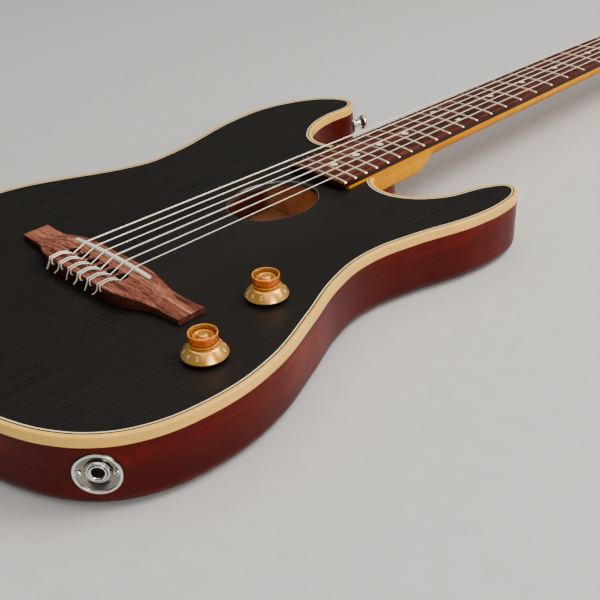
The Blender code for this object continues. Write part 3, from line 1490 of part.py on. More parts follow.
def cover_outline(margin):
    """Rounded about the same centres as the cavity, so that the ledge has one width."""
    wider = COVER_MARGIN + margin
    return rounded(grown(CONTROL_CAVITY, wider), CONTROL_CORNER + wider, 2)


def cover_screw_places():
    """Midway across the ledge, at six of the cavity's corners."""
    count = len(CONTROL_CAVITY)
    places = []
    for i in COVER_SCREW_CORNERS:
        here = Vector(CONTROL_CAVITY[i])
        back = (Vector(CONTROL_CAVITY[i - 1]) - here).normalized()
        ahead = (Vector(CONTROL_CAVITY[(i + 1) % count]) - here).normalized()
        inward = (back + ahead).normalized()
        to_centre = CONTROL_CORNER / math.sin(back.angle(ahead) / 2.0)
        spot = here + inward * (to_centre - CONTROL_CORNER - COVER_MARGIN / 2.0)
        places.append((spot.x, spot.y))
    return places


def make_cover(mats):
    """A thin plate let into the back over the control cavity, held by six screws."""
    plate = prism(cover_outline(0.0), BACK_RECESS, COVER_THICKNESS)
    cover = solid("control_cover", [plate], mats["black_plastic"])
    face = COVER_SCREW_FACE
    neck = COVER_SCREW_HEAD_DEPTH
    screw = turned([
        (0.0, face), (COVER_SCREW_HEAD_RADIUS, face), (COVER_SCREW_HEAD_RADIUS, neck),
        (COVER_SCREW_RADIUS, neck), (COVER_SCREW_RADIUS, COVER_SCREW_LENGTH), (0.0, COVER_SCREW_LENGTH)],
        SIDES_SCREW)
    cut(cover, "cover_screw_join", [place(screw, at(x, y)) for x, y in cover_screw_places()], "UNION")


def make_electronics(mats):
    """The battery on the cover, and the preamp board across the backs of the two potentiometers."""
    low = COVER_THICKNESS + SEAT
    bx, by = BATTERY_CENTRE
    width, length, height = BATTERY_SIZE
    half_x, half_y = width / 2.0, length / 2.0
    corners = [(bx - half_x, by - half_y), (bx + half_x, by - half_y), (bx + half_x, by + half_y),
               (bx - half_x, by + half_y)]
    battery = rounded(corners, BATTERY_CORNER, 2)
    solid("battery", [prism(battery, low, low + height)], mats["battery"])
    first = Vector(KNOB_PLACES[0])
    second = Vector(KNOB_PLACES[1])
    middle = (first + second) / 2.0
    turn = math.atan2(second.y - first.y, second.x - first.x) - math.pi / 2.0
    high = TOP_UNDERSIDE_Z - SEAT - POT_CASE_HEIGHT - SEAT
    board_width, board_length, board_thickness = BOARD_SIZE
    board = box((-board_width / 2.0, -board_length / 2.0, high - board_thickness),
                (board_width / 2.0, board_length / 2.0, high))
    frame = at(middle.x, middle.y) @ Matrix.Rotation(turn, 4, "Z")
    solid("preamp_board", [place(board, frame)], mats["board_green"])
    return middle, high - board_thickness


def make_lead(name, route, steps, mats):
    curve = bpy.data.curves.new(name, "CURVE")
    curve.dimensions = "3D"
    curve.bevel_depth = LEAD_RADIUS
    curve.bevel_resolution = 1
    curve.use_fill_caps = True
    curve.resolution_u = 1
    curve.render_resolution_u = 0
    points = smooth(route, False, steps)
    spline = curve.splines.new("POLY")
    spline.points.add(len(points) - 1)
    for target, point in zip(spline.points, points):
        target.co = (*point, 1.0)
    add_object(name, curve, mats["lead_black"])


def make_leads(outline, board_middle, board_low, mats):
    """The pickup's lead runs down through the top and across; the jack's lead runs up to the board."""
    channel = CORE_TOP_Z - LEAD_CHANNEL_DEPTH / 2.0
    step_x, step_y, step_down = PICKUP_LEAD_STEP
    off_middle, before_end, below_board = PICKUP_LEAD_END
    board_x = board_middle.x + off_middle
    make_lead("pickup_lead", [
        (LEAD_X, SADDLE_Y, TOP_Z + SLOT_FLOOR + PICKUP_HEIGHT),
        (LEAD_X, SADDLE_Y, TOP_UNDERSIDE_Z),
        (LEAD_X, SADDLE_Y, TOP_UNDERSIDE_Z - step_down),
        (LEAD_X + step_x, SADDLE_Y + step_y, channel),
        (CHAMBER[1][0], LEAD_CHANNEL_Y, channel - 0.75 * PICKUP_LEAD_SAG),
        (CONTROL_CAVITY[-1][0] - off_middle, LEAD_CHANNEL_Y, channel - PICKUP_LEAD_SAG),
        (board_x + before_end, board_middle.y - step_y, board_low - below_board - PICKUP_LEAD_SAG),
        (board_x, board_middle.y, board_low - below_board),
        (board_x, board_middle.y, board_low - SEAT),
    ], 2, mats)
    frame = jack_frame(outline)
    back = -(CUP_DEPTH + SEAT + JACK_BODY_LENGTH + SEAT)
    off = 0.5 * (JACK_BORE_RADIUS + JACK_BODY_RADIUS)
    start = [frame @ Vector((0.0, off, back)), frame @ Vector((0.0, off, back - LEAD_STRAIGHT))]
    route = [(x, y, board_low - below) for x, y, below in JACK_LEAD_ROUTE]
    make_lead("jack_lead", start + route, 1, mats)


def make_materials():
    return {
        "mahogany": material("mahogany", (0.22, 0.035, 0.015), 0.25),
        "black_satin": material("black_satin", (0.018, 0.016, 0.014), 0.45),
        "cream": material("cream", (0.80, 0.67, 0.42), 0.30),
        "white_line": material("white_line", (0.80, 0.77, 0.70), 0.35),
        "maple": material("maple", (0.72, 0.38, 0.05), 0.22),
        "steel": material("steel", (0.55, 0.55, 0.56), 0.35, 1.0),
        "rosewood": material("rosewood", (0.26, 0.12, 0.09), 0.5),
        "bone": material("bone", (0.80, 0.76, 0.64), 0.35),
        "nylon": material("nylon", (0.85, 0.83, 0.76), 0.25),
        "wound": material("wound", (0.78, 0.75, 0.68), 0.35, 0.6),
        "chrome": material("chrome", (0.80, 0.80, 0.80), 0.08, 1.0),
        "cream_button": material("cream_button", (0.78, 0.68, 0.48), 0.3),
        "amber": material("amber", (0.75, 0.40, 0.07), 0.15),
        "copper": material("copper", (0.60, 0.35, 0.18), 0.4, 1.0),
        "felt": material("felt", (0.03, 0.03, 0.03), 0.95),
        "black_plastic": material("black_plastic", (0.02, 0.02, 0.02), 0.4),
        "battery": material("battery", (0.10, 0.10, 0.11), 0.4),
        "board_green": material("board_green", (0.02, 0.12, 0.05), 0.5),
        "lead_black": material("lead_black", (0.02, 0.02, 0.02), 0.5),
    }


def main():
    clear_scene()
    mats = make_materials()
    outline = BodyOutline()
    make_body(outline, mats)
    make_top(outline, mats)
    make_trim(outline, mats)
    make_neck(mats)
    make_fretboard(mats)
    make_nut(mats)
    make_bridge(mats)
    make_saddle(mats)
    make_strings(mats)
    make_tuners(mats)
    make_knobs(mats)
    make_jack(outline, mats)
    make_strap_buttons(outline, mats)
    make_neck_screws(mats)
    make_cover(mats)
    board_middle, board_low = make_electronics(mats)
    make_leads(outline, board_middle, board_low, mats)


main()
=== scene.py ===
"""The looks of a nylon-string guitar: fine surfaces, finishes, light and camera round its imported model.

Places are in metres in the model's own frame: +Z up from the back, +Y along the neck, +X the treble side.
A body is a pair of points and faces, and a profile is a list of (radius, height) points to be turned.
"""

import math

import bmesh
import bpy
from mathutils import Matrix, Vector


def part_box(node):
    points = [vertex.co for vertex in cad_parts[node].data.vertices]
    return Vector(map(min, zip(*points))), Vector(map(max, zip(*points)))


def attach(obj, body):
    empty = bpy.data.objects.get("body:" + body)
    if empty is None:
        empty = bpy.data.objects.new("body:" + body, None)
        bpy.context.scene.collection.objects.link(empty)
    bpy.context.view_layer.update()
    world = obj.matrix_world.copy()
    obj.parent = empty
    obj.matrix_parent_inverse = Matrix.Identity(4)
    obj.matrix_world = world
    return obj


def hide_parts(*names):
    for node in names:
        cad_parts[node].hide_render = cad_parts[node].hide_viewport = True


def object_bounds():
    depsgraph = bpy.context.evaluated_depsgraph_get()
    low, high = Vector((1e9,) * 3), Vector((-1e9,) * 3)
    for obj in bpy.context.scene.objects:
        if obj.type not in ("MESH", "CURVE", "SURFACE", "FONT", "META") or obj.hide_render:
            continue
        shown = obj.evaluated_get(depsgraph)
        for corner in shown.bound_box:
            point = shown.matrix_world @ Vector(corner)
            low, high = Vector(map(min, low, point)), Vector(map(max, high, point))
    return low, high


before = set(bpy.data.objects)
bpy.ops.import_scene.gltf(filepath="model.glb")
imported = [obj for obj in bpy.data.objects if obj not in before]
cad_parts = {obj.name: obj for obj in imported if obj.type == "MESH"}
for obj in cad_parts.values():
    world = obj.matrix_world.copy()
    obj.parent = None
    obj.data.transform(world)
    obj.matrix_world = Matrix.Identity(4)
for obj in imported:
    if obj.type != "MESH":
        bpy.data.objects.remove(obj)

CAD_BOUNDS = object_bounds()

# Levels and edges read from the frame
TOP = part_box("body_top")[1].z
TOP_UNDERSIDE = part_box("body_top")[0].z
BINDING_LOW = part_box("binding")[0].z
BOARD_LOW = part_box("fretboard")[0].z
NECK_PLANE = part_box("truss_rod")[1].z
HEAD_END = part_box("neck")[1].y
HEAD_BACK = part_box("neck")[0].z
BRIDGE_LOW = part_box("bridge")[0].z
NUT_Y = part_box("nut")[0].y
WORM_Z = 0.5 * (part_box("tuner_button_1")[0].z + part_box("tuner_button_1")[1].z)

# Clearance of seated pieces, width of a joint line, and how far a cutter passes a face or reaches out
FIT = 0.0003
JOINT = 0.00004
PAST = 0.0020
OPEN = 0.0100

# Body
BACK_ROUND = 0.0090
HEEL_ROUND = 0.0030
HEEL_CORNERS = [(0.0252, 0.2280), (0.0225, 0.2410), (0.0140, 0.2485), (-0.0160, 0.2495)]
OUTLINE_SPACING = 0.0030
TIGHT_RADIUS = 0.0300
SIDE_REACH = 0.0300
BINDING_WIDTH = 0.0026
BINDING_ROUND = 0.0011
TOP_INSET = 0.0029
TOP_OVERLAP = 0.00026
LINE_START = 0.0035
LINE_END = 0.0043
LINE_DEPTH = 0.0014
SOUNDHOLE = (0.0, 0.1354)
SOUNDHOLE_HALF = (0.0283, 0.0347)
SOUNDHOLE_ROUND = 0.0010
CHAMBER_FLOOR = 0.0090
CHAMBER = [(-0.054, -0.030), (0.054, -0.030), (0.054, 0.178), (-0.054, 0.178)]
CHAMBER_CORNER = 0.012
LEAD_CHANNEL = ((0.049, 0.001), (0.082, 0.011))
LEAD_CHANNEL_DEPTH = 0.0123
CONTROL_CAVITY = [(0.080, -0.084), (0.118, -0.084), (0.131, -0.050), (0.131, -0.014), (0.120, 0.024),
                  (0.106, 0.062), (0.080, 0.062), (0.077, -0.010)]
CONTROL_CORNER = 0.010
POCKET_END = 0.1840
POCKET_FLOOR = TOP - 0.0163
POT_BORE = 0.0049

# Control cover
COVER_MARGIN = 0.0065
COVER_LEVELS = (0.0004, 0.0022)
COVER_BEVEL = 0.0004
COVER_RECESS = 0.0025
COVER_SCREW_CORNERS = (0, 1, 3, 5, 6, 7)
COVER_SCREW_BORE = 0.0026

# Neck and head
SCALE = 0.648
NUT_END_WIDTH = 0.0450
BODY_END_WIDTH = 0.0552
BOARD_END = 0.1785
HEEL_END = 0.2600
SHAFT_START = 0.2860
SHAFT_DEPTH = (0.0145, 0.0136)
HEEL_SQUARENESS = 16.0
SHAFT_SQUARENESS = 2.3
HEAD_DROP = 0.0100
HEAD_TOP_STEP = (0.0085, 0.0260)
HEAD_BACK_STEP = (-0.0220, 0.0260)
HEAD_CORNER = 0.0140
HEAD_END_TAPER = 0.35
HEAD_END_GAP = 0.00002
HEAD_BORE = 0.0052
HEAD_OUTLINE = [(0.0090, 0.0), (0.0170, 0.0011), (0.0260, 0.0050), (0.0360, 0.0120), (0.0460, 0.0160),
                (0.0580, 0.0170), (0.0820, 0.0160), (0.1250, 0.0137), (0.1520, 0.0122)]
HEAD_FACE = NECK_PLANE - HEAD_DROP
NECK_POINTS = 61
NECK_STEP = 0.0030

# Board, frets, dots and nut
BOARD_TOP = NECK_PLANE + 0.0052
BOARD_RADIUS = 0.245
BOARD_CORNER = 0.003
BOARD_STEP = 0.02
FRET_COUNT = 22
FRET_WIDTH = 0.0022
FRET_HEIGHT = 0.0011
FRET_SINK = 0.0001
FRET_END_SLOPE = 0.0011
DOT_RADIUS = 0.0030
DOT_DEPTH = 0.0015
DOT_FRETS = (3, 5, 7, 9, 15, 17, 19, 21)
OCTAVE_FRET = 12
OCTAVE_X = 0.012
SIDE_DOT_RADIUS = 0.0011
SIDE_DOT_DEPTH = 0.0010
NUT_WIDTH = 0.0050
NUT_SLOPE = 0.0012
NUT_INSET = 0.0006
NUT_OVER_STRING = 0.0006
SLOT_LIFTS = (0.0, 0.0006, 0.0012)
SLOT_AHEAD = 0.0080
SLOT_ROOM = 0.00008

# Bridge, as distance from the centre, rear edge, front edge and height, and its saddle
BRIDGE_STATIONS = [(0.0000, -0.0252, 0.0068, 0.0096), (0.0340, -0.0250, 0.0056, 0.0096),
                   (0.0400, -0.0236, 0.0046, 0.0092), (0.0470, -0.0205, 0.0036, 0.0080),
                   (0.0540, -0.0170, 0.0032, 0.0063), (0.0610, -0.0152, 0.0038, 0.0049),
                   (0.0700, -0.0143, 0.0045, 0.0042), (0.0797, -0.0137, 0.0054, 0.0039)]
BRIDGE_STEP = 0.0012
BRIDGE_EDGE = 0.0006
BRIDGE_BEVEL = (0.0005, 0.0004)
SLOT_FLOOR = 0.0034
SADDLE_Y = -0.0003
SADDLE_LENGTH = 0.0764
SADDLE_WIDTH = 0.0030
SADDLE_CROWN = 0.0124
SADDLE_RADIUS = 0.400
SADDLE_ROOM = 0.0002

# String wells, as middle, half width and half length, with the rise and widening of each level
WELL = (-0.0112, 0.0029, 0.0046)
WELL_FLOOR = 0.0040
WELL_SIDE_ROOM = 0.0005
WELL_LEVELS = [(WELL_FLOOR, -0.0006), (WELL_FLOOR + 0.0006, 0.0), (0.0090, 0.0), (0.0098, 0.0003),
               (2.0 * OPEN, 0.0003)]

# Strings, from the treble side
STRINGS = range(1, 7)
STRING_SPREAD = 0.0493
NUT_SPREAD = 0.0352
STRING_DIAMETERS = (0.00072, 0.00082, 0.00102, 0.00076, 0.00090, 0.00110)
STRING_OVER_FRET = 0.0005
TIE_HOLE_HEIGHT = 0.0064
TIE_HOLE_ROOM = 0.0005
TIE_LOOP_REACH = 0.0015
TIE_BOW = 0.0009
TAIL_SPLAY = (0.9, 0.2, 0.6, 0.0, 0.8, 0.3)
COIL_HEIGHT = 0.0066
COIL_TURNS = 1.25
COIL_GAP = 0.0009
COIL_POINTS = 48

# Knobs, in a knob's own heights above its foot
KNOB_NODES = ("knob_1", "knob_2")
KNOB_RADIUS = 0.01325
KNOB_RIM = 0.0083
KNOB_LIP = KNOB_RIM + 0.0008
KNOB_HEIGHT = 0.0137
KNOB_SKIRT = 0.0062
KNOB_BAND_TOP = 0.0076
KNOB_WALL = (KNOB_RIM - 0.0012, KNOB_RIM - 0.0001)
KNOB_WALL_LOW = 0.0082
KNOB_RIBS = 44
BEAD_RADIUS = 0.0002
DIGIT_SIZE = 0.0036
DIGIT_RISE = 0.00004
DIGIT_START = -210.0
DIGIT_TURN = 30.0

# Jack and its cup
JACK_HEIGHT = 0.0230
JACK_FACING = -45.5
JACK_BORE_DEPTH = 0.0400
JACK_HOLE = 0.0033
CUP_RADIUS = 0.0125
CUP_SEAT = 0.0020
CUP_WELL = 0.0075
CUP_DEPTH = 0.0030
CUP_SHEET = 0.0008
CUP_HOLE = 0.0049
CUP_SCREW = (0.0018, 0.0004)
CUP_SCREW_OFFSET = 0.0095

# Strap buttons and neck screws
STRAP_HEIGHT = 0.0225
STRAP_FACING = {"horn": 68.0, "tail": -90.0}
STRAP_RADIUS = 0.0074
STRAP_LENGTH = 0.0125
STRAP_WAIST = 0.0042
STRAP_SEAT = 0.0076
STRAP_SEAT_DEPTH = 0.0014
STRAP_BORE = 0.0019
STRAP_BORE_DEPTH = 0.0213
STRAP_RECESS = 0.0008
FELT = 0.0015
NECK_SCREWS = [(x, y) for x in (-0.0150, 0.0150) for y in (0.1950, 0.2290)]
NECK_SCREW_LENGTH = 0.0390
SCREW_BORE = 0.0025
SCREW_RADIUS = 0.0022
FERRULE_RADIUS = 0.0060
FERRULE_DEPTH = 0.0040

# Tuners
TUNER_PAST_NUT = (0.052, 0.094, 0.136)
POST_X = 0.0235
POST_RADIUS = 0.0032
POST_WAIST = 0.0028
POST_HEIGHT = 0.0155
POST_HOLE = 0.0112
BUSHING_BORE = 0.0036
CASE_CORNERS = [(-0.0095, -0.0111), (0.0115, -0.0111), (0.0115, 0.0074), (-0.0095, 0.0074)]
CASE_CORNER = 0.0029
CASE_HEIGHT = 0.0140
WORM_OFFSET = 0.0066
BUTTON_START = 0.0440
BUTTON_HALF = [(0.0000, 0.0030), (0.0030, 0.0048), (0.0056, 0.0086), (0.0092, 0.0097), (0.0128, 0.0083),
               (0.0142, 0.0040)]
BUTTON_CENTRE = Vector((0.0071, 0.0))
BUTTON_THICKNESS = 0.0062
BUTTON_EDGE = 0.0016
SHAFT_INNER = 0.0270 - POST_X

# The photograph's camera
CAMERA_PLACE = (0.45846, -0.28214, 0.33506)
CAMERA_TURN = (58.466, 0.738, 42.503)
CAMERA_LENS = 57.745
CAMERA_SHIFT = (-0.0785, 0.01245)

# Stage and lights: name, place, aim, size, watts, tone
FLOOR = ((-9.0, -9.0, -0.02), (9.0, 9.0, -0.0005))
WORLD_TONE = (0.84, 0.84, 0.86, 1.0)
WORLD_STRENGTH = 0.14
LIGHTS = [
    ("key", (0.75, 1.0, 1.35), (0.05, 0.10, 0.03), (0.9, 0.9), 30.0, (1.0, 0.95, 0.88)),
    ("side", (1.4, -0.2, 0.75), (0.08, 0.10, 0.03), (0.7, 0.7), 12.0, (1.0, 0.95, 0.88)),
    ("ceiling", (0.0, 0.2, 4.0), (0.0, 0.2, 0.0), (6.0, 6.0), 160.0, (1.0, 0.98, 0.95)),
]

# Inner nodes that keep their solids, with their looks
INNER_LOOKS = {"truss_rod": "steel", "saddle_pickup": "braid", "battery": "battery",
               "preamp_board": "circuit", "pickup_lead": "rubber", "jack_lead": "rubber", "pot_1": "steel",
               "pot_2": "steel", "pot_shaft_1": "steel", "pot_shaft_2": "steel"}

UP = Vector((0.0, 0.0, 1.0))
OVER = Matrix.Rotation(math.pi, 4, "X")


# Shapes

def add(name, data):
    obj = bpy.data.objects.new(name, data)
    bpy.context.scene.collection.objects.link(obj)
    return obj


def shade(mesh, sharp):
    mesh.shade_smooth()
    mesh.set_sharp_from_angle(angle=math.radians(sharp))


def shaped(obj):
    """The object's mesh with its modifiers applied, or the mesh of its text."""
    bpy.context.view_layer.update()
    return bpy.data.meshes.new_from_object(obj.evaluated_get(bpy.context.evaluated_depsgraph_get()))


def mesh_of(name, bodies, look, spot=Matrix()):
    """One mesh of closed bodies, set in a frame, with every face pointing out."""
    bm = bmesh.new()
    for points, faces in bodies:
        verts = [bm.verts.new(spot @ Vector(p)) for p in points]
        for face in faces:
            bm.faces.new([verts[i] for i in face])
    bmesh.ops.recalc_face_normals(bm, faces=bm.faces[:])
    mesh = bpy.data.meshes.new(name)
    bm.to_mesh(mesh)
    bm.free()
    mesh.materials.append(LOOKS[look])
    return mesh


def piece(name, bodies, look, nodes=(), sharp=35.0, spot=Matrix(), body="guitar"):
    """A new piece that rides on a body and stands for the nodes named."""
    obj = add(name, mesh_of(name, bodies, look, spot))
    shade(obj.data, sharp)
    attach(obj, body)
    if nodes:
        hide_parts(*nodes)
    return obj


def cut(target, cutters, look, sharp=35.0, spot=Matrix()):
    """Cuts each set of bodies from the piece in turn. The new walls take the look named."""
    tools = [add("tool", mesh_of("tool", bodies, look, spot)) for bodies in cutters]
    for tool in tools:
        modifier = target.modifiers.new("cut", "BOOLEAN")
        modifier.operation = "DIFFERENCE"
        modifier.object = tool
        modifier.material_mode = "TRANSFER"
    mesh = shaped(target)
    target.modifiers.clear()
    target.data = mesh
    shade(mesh, sharp)
    for tool in tools:
        bpy.data.objects.remove(tool, do_unlink=True)


def softened(points, reach, steps=3, closed=True):
    """An outline with every corner rounded off within reach of the corner."""
    soft = []
    for i, point in enumerate(points):
        here = Vector(point)
        if not closed and i in (0, len(points) - 1):
            soft.append(here)
            continue
        back = Vector(points[i - 1]) - here
        ahead = Vector(points[(i + 1) % len(points)]) - here
        start = here + back.normalized() * min(reach, 0.4 * back.length)
        end = here + ahead.normalized() * min(reach, 0.4 * ahead.length)
        for k in range(steps + 1):
            t = k / steps
            soft.append(start * (1.0 - t) ** 2 + here * (2.0 * t * (1.0 - t)) + end * t * t)
    return soft


def loft(rings, closed=False):
    """A body through rings of equal point counts: capped at both ends, or joined round like a hoop."""
    count = len(rings[0])
    points = [p for ring in rings for p in ring]
    faces = [] if closed else [tuple(range(count)), tuple(range(len(points) - count, len(points)))]
    for level in range(len(rings) if closed else len(rings) - 1):
        low = level * count
        high = ((level + 1) % len(rings)) * count
        for i in range(count):
            j = (i + 1) % count
            faces.append((low + i, low + j, high + j, high + i))
    return points, faces


def prism(outline, low, high):
    return loft([[(p[0], p[1], z) for p in outline] for z in (low, high)])


def block(low, high):
    """A box between two opposite corners."""
    outline = [(low[0], low[1]), (high[0], low[1]), (high[0], high[1]), (low[0], high[1])]
    return prism(outline, low[2], high[2])


def turned(profile, sides=96, soft=0.0, steps=3):
    """A body turned round Z, its corners softened. A first and last radius of 0 close it."""
    solid = profile[0][0] == 0.0
    if soft:
        profile = softened(profile, soft, steps, not solid)
    wall = profile[1:-1] if solid else profile
    count = len(wall)
    points = []
    for i in range(sides):
        angle = 2.0 * math.pi * i / sides
        points += [(r * math.cos(angle), r * math.sin(angle), z) for r, z in wall]
    faces = []
    for i in range(sides):
        here = i * count
        there = ((i + 1) % sides) * count
        for k in range(count - 1 if solid else count):
            n = (k + 1) % count
            faces.append((here + k, here + n, there + n, there + k))
    if solid:
        for k in (0, count - 1):
            faces.append(tuple(i * count + k for i in range(sides)))
    return points, faces


def column(low, *steps):
    """The profile of a solid column from its low end up, each step given as (radius, top)."""
    profile = [(0.0, low)]
    for radius, top in steps:
        profile += [(radius, low), (radius, top)]
        low = top
    return profile + [(0.0, low)]


def washer(inner, outer, low, high):
    """The profile of a flat ring."""
    return [(inner, low), (outer, low), (outer, high), (inner, high)]


def cylinder(radius, low, high, sides=48):
    return turned(column(low, (radius, high)), sides)


def place(body, matrix):
    points, faces = body
    return [matrix @ Vector(p) for p in points], faces


def at(x, y, z=0.0):
    return Matrix.Translation((x, y, z))


def facing(origin, direction):
    """A frame at origin whose Z points along direction."""
    turn = UP.rotation_difference(Vector(direction).normalized())
    return Matrix.Translation(origin) @ turn.to_matrix().to_4x4()


def quarter(steps):
    """What the sine and the cosine lack of 1, from 0 to 90 degrees."""
    angles = [math.pi / 2.0 * k / steps for k in range(steps + 1)]
    return [(1.0 - math.sin(a), 1.0 - math.cos(a)) for a in angles]


def ellipse(centre, half_x, half_y, sides):
    step = 2.0 * math.pi / sides
    return [(centre[0] + half_x * math.cos(i * step), centre[1] + half_y * math.sin(i * step))
            for i in range(sides)]


def corner_ways(corners):
    """Each corner of an outline, with the unit ways back and ahead from it."""
    ways = []
    for i, corner in enumerate(corners):
        here = Vector(corner)
        ahead = Vector(corners[(i + 1) % len(corners)]) - here
        ways.append((here, (Vector(corners[i - 1]) - here).normalized(), ahead.normalized()))
    return ways


def rounded(corners, radius, steps=8):
    """A closed outline, anticlockwise, with its corners rounded by arcs."""
    outline = []
    for here, back, ahead in corner_ways(corners):
        half = back.angle(ahead) / 2.0
        centre = here + (back + ahead).normalized() * (radius / math.sin(half))
        start = here + back * (radius / math.tan(half)) - centre
        turn = (math.pi - 2.0 * half) * (1.0 if back.cross(ahead) < 0.0 else -1.0)
        outline += [Matrix.Rotation(turn * k / steps, 2) @ start + centre for k in range(steps + 1)]
    return outline


def smooth(points, closed, spacing):
    """A smooth line through the given points, with new ones at most a spacing apart."""
    given = [Vector(p) for p in points]
    count = len(given)
    tangents = []
    for i in range(count):
        before = given[i - 1] if closed or i > 0 else given[i]
        after = given[(i + 1) % count] if closed or i < count - 1 else given[i]
        back = max((given[i] - before).length, 1e-9)
        ahead = max((after - given[i]).length, 1e-9)
        slope = (after - given[i]) * (back / ahead) + (given[i] - before) * (ahead / back)
        tangents.append(slope / (back + ahead))
    line = []
    for i in range(count if closed else count - 1):
        a, b = given[i], given[(i + 1) % count]
        length = (b - a).length
        start, end = tangents[i] * length, tangents[(i + 1) % count] * length
        steps = max(1, math.ceil(length / spacing))
        for k in range(steps):
            t = k / steps
            line.append(a * (2 * t ** 3 - 3 * t ** 2 + 1) + start * (t ** 3 - 2 * t ** 2 + t)
                        + b * (3 * t ** 2 - 2 * t ** 3) + end * (t ** 3 - t ** 2))
    if not closed:
        line.append(given[-1])
    return line


def tube(points, radius, sides=12):
    """A round tube along a line, its section carried along without twist."""
    rings = []
    across = (points[1] - points[0]).normalized().orthogonal().normalized()
    for i, point in enumerate(points):
        way = (points[min(i + 1, len(points) - 1)] - points[max(i - 1, 0)]).normalized()
        across = (across - way * across.dot(way)).normalized()
        other = way.cross(across)
        rings.append([point + (across * math.cos(a) + other * math.sin(a)) * radius
                      for a in (2.0 * math.pi * k / sides for k in range(sides))])
    return loft(rings)


def edge_line(node, height):
    """The node's widest closed line of edges at a height, as points in order."""
    links = {}
    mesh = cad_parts[node].data
    for polygon in mesh.polygons:
        corners = [mesh.vertices[i].co for i in polygon.vertices]
        for a, b in zip(corners, corners[1:] + corners[:1]):
            if abs(a.z - height) < 0.00002 and abs(b.z - height) < 0.00002:
                here, there = ((round(v.x, 5), round(v.y, 5)) for v in (a, b))
                links.setdefault(here, set()).add(there)
                links.setdefault(there, set()).add(here)
    line = [max(links)]
    seen = set(line)
    while True:
        ahead = sorted(links[line[-1]] - seen)
        if not ahead:
            return line
        line.append(ahead[-1])
        seen.add(ahead[-1])


class BodyEdge:
    """The body's plan outline as a fine line with the outward way at each point."""

    def __init__(self):
        line = smooth(edge_line("body_core", BACK_ROUND), True, OUTLINE_SPACING)
        low, high = CAD_BOUNDS
        over = max(max(p.x for p in line) / high.x, min(p.x for p in line) / low.x)
        self.points = [Vector((p.x / over, p.y)) for p in line]
        area = sum(a.cross(b) for a, b in zip(self.points, self.points[1:] + self.points[:1]))
        if area < 0.0:
            self.points.reverse()
        count = len(self.points)
        ways = [(self.points[(i + 1) % count] - self.points[i - 1]).normalized() for i in range(count)]
        self.out = [Vector((way.y, -way.x)) for way in ways]
        self.limits = self.deepest_insets()

    def deepest_insets(self):
        """How far each point can move in: less at the heel's end, and where the ring would fold over."""
        count = len(self.points)
        tight = [(point, HEEL_ROUND) for point in smooth(HEEL_CORNERS, False, 0.001)]
        for i, point in enumerate(self.points):
            before, after = i - 2, (i + 2) % count
            turn = self.out[before].angle(self.out[after])
            radius = (self.points[after] - self.points[before]).length / max(turn, 0.001)
            if self.out[before].cross(self.out[after]) > 0.0 and radius < TIGHT_RADIUS:
                tight.append((point, 0.8 * radius))
        limits = [min(least + 0.5 * (point - there).length for there, least in tight)
                  for point in self.points]
        return [min(limits[i], sum(limits[(i + k) % count] for k in range(-3, 4)) / 7.0)
                for i in range(count)]

    def ring(self, inset, z):
        return [(p.x - n.x * min(inset, limit), p.y - n.y * min(inset, limit), z)
                for p, n, limit in zip(self.points, self.out, self.limits)]

    def hoop(self, section):
        """A strip round the body, its section given as (inset, height) points."""
        return loft([[(p.x - n.x * inset, p.y - n.y * inset, z) for inset, z in section]
                     for p, n in zip(self.points, self.out)], True)


def side_frame(node, height, degrees):
    """A frame on the body's side, at the middle of a round node there, whose Z faces out."""
    middle = sum(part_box(node), Vector()) / 2.0
    angle = math.radians(degrees)
    out = Vector((math.cos(angle), math.sin(angle), 0.0))
    level = UP.cross(out)
    near = min((p.to_3d() for p in BODY.points),
               key=lambda p: ((p - middle).length > SIDE_REACH, abs((p - middle).dot(level))))
    return facing(Vector((middle.x, middle.y, height)) + out * (near - middle).dot(out), out)


# Finishes

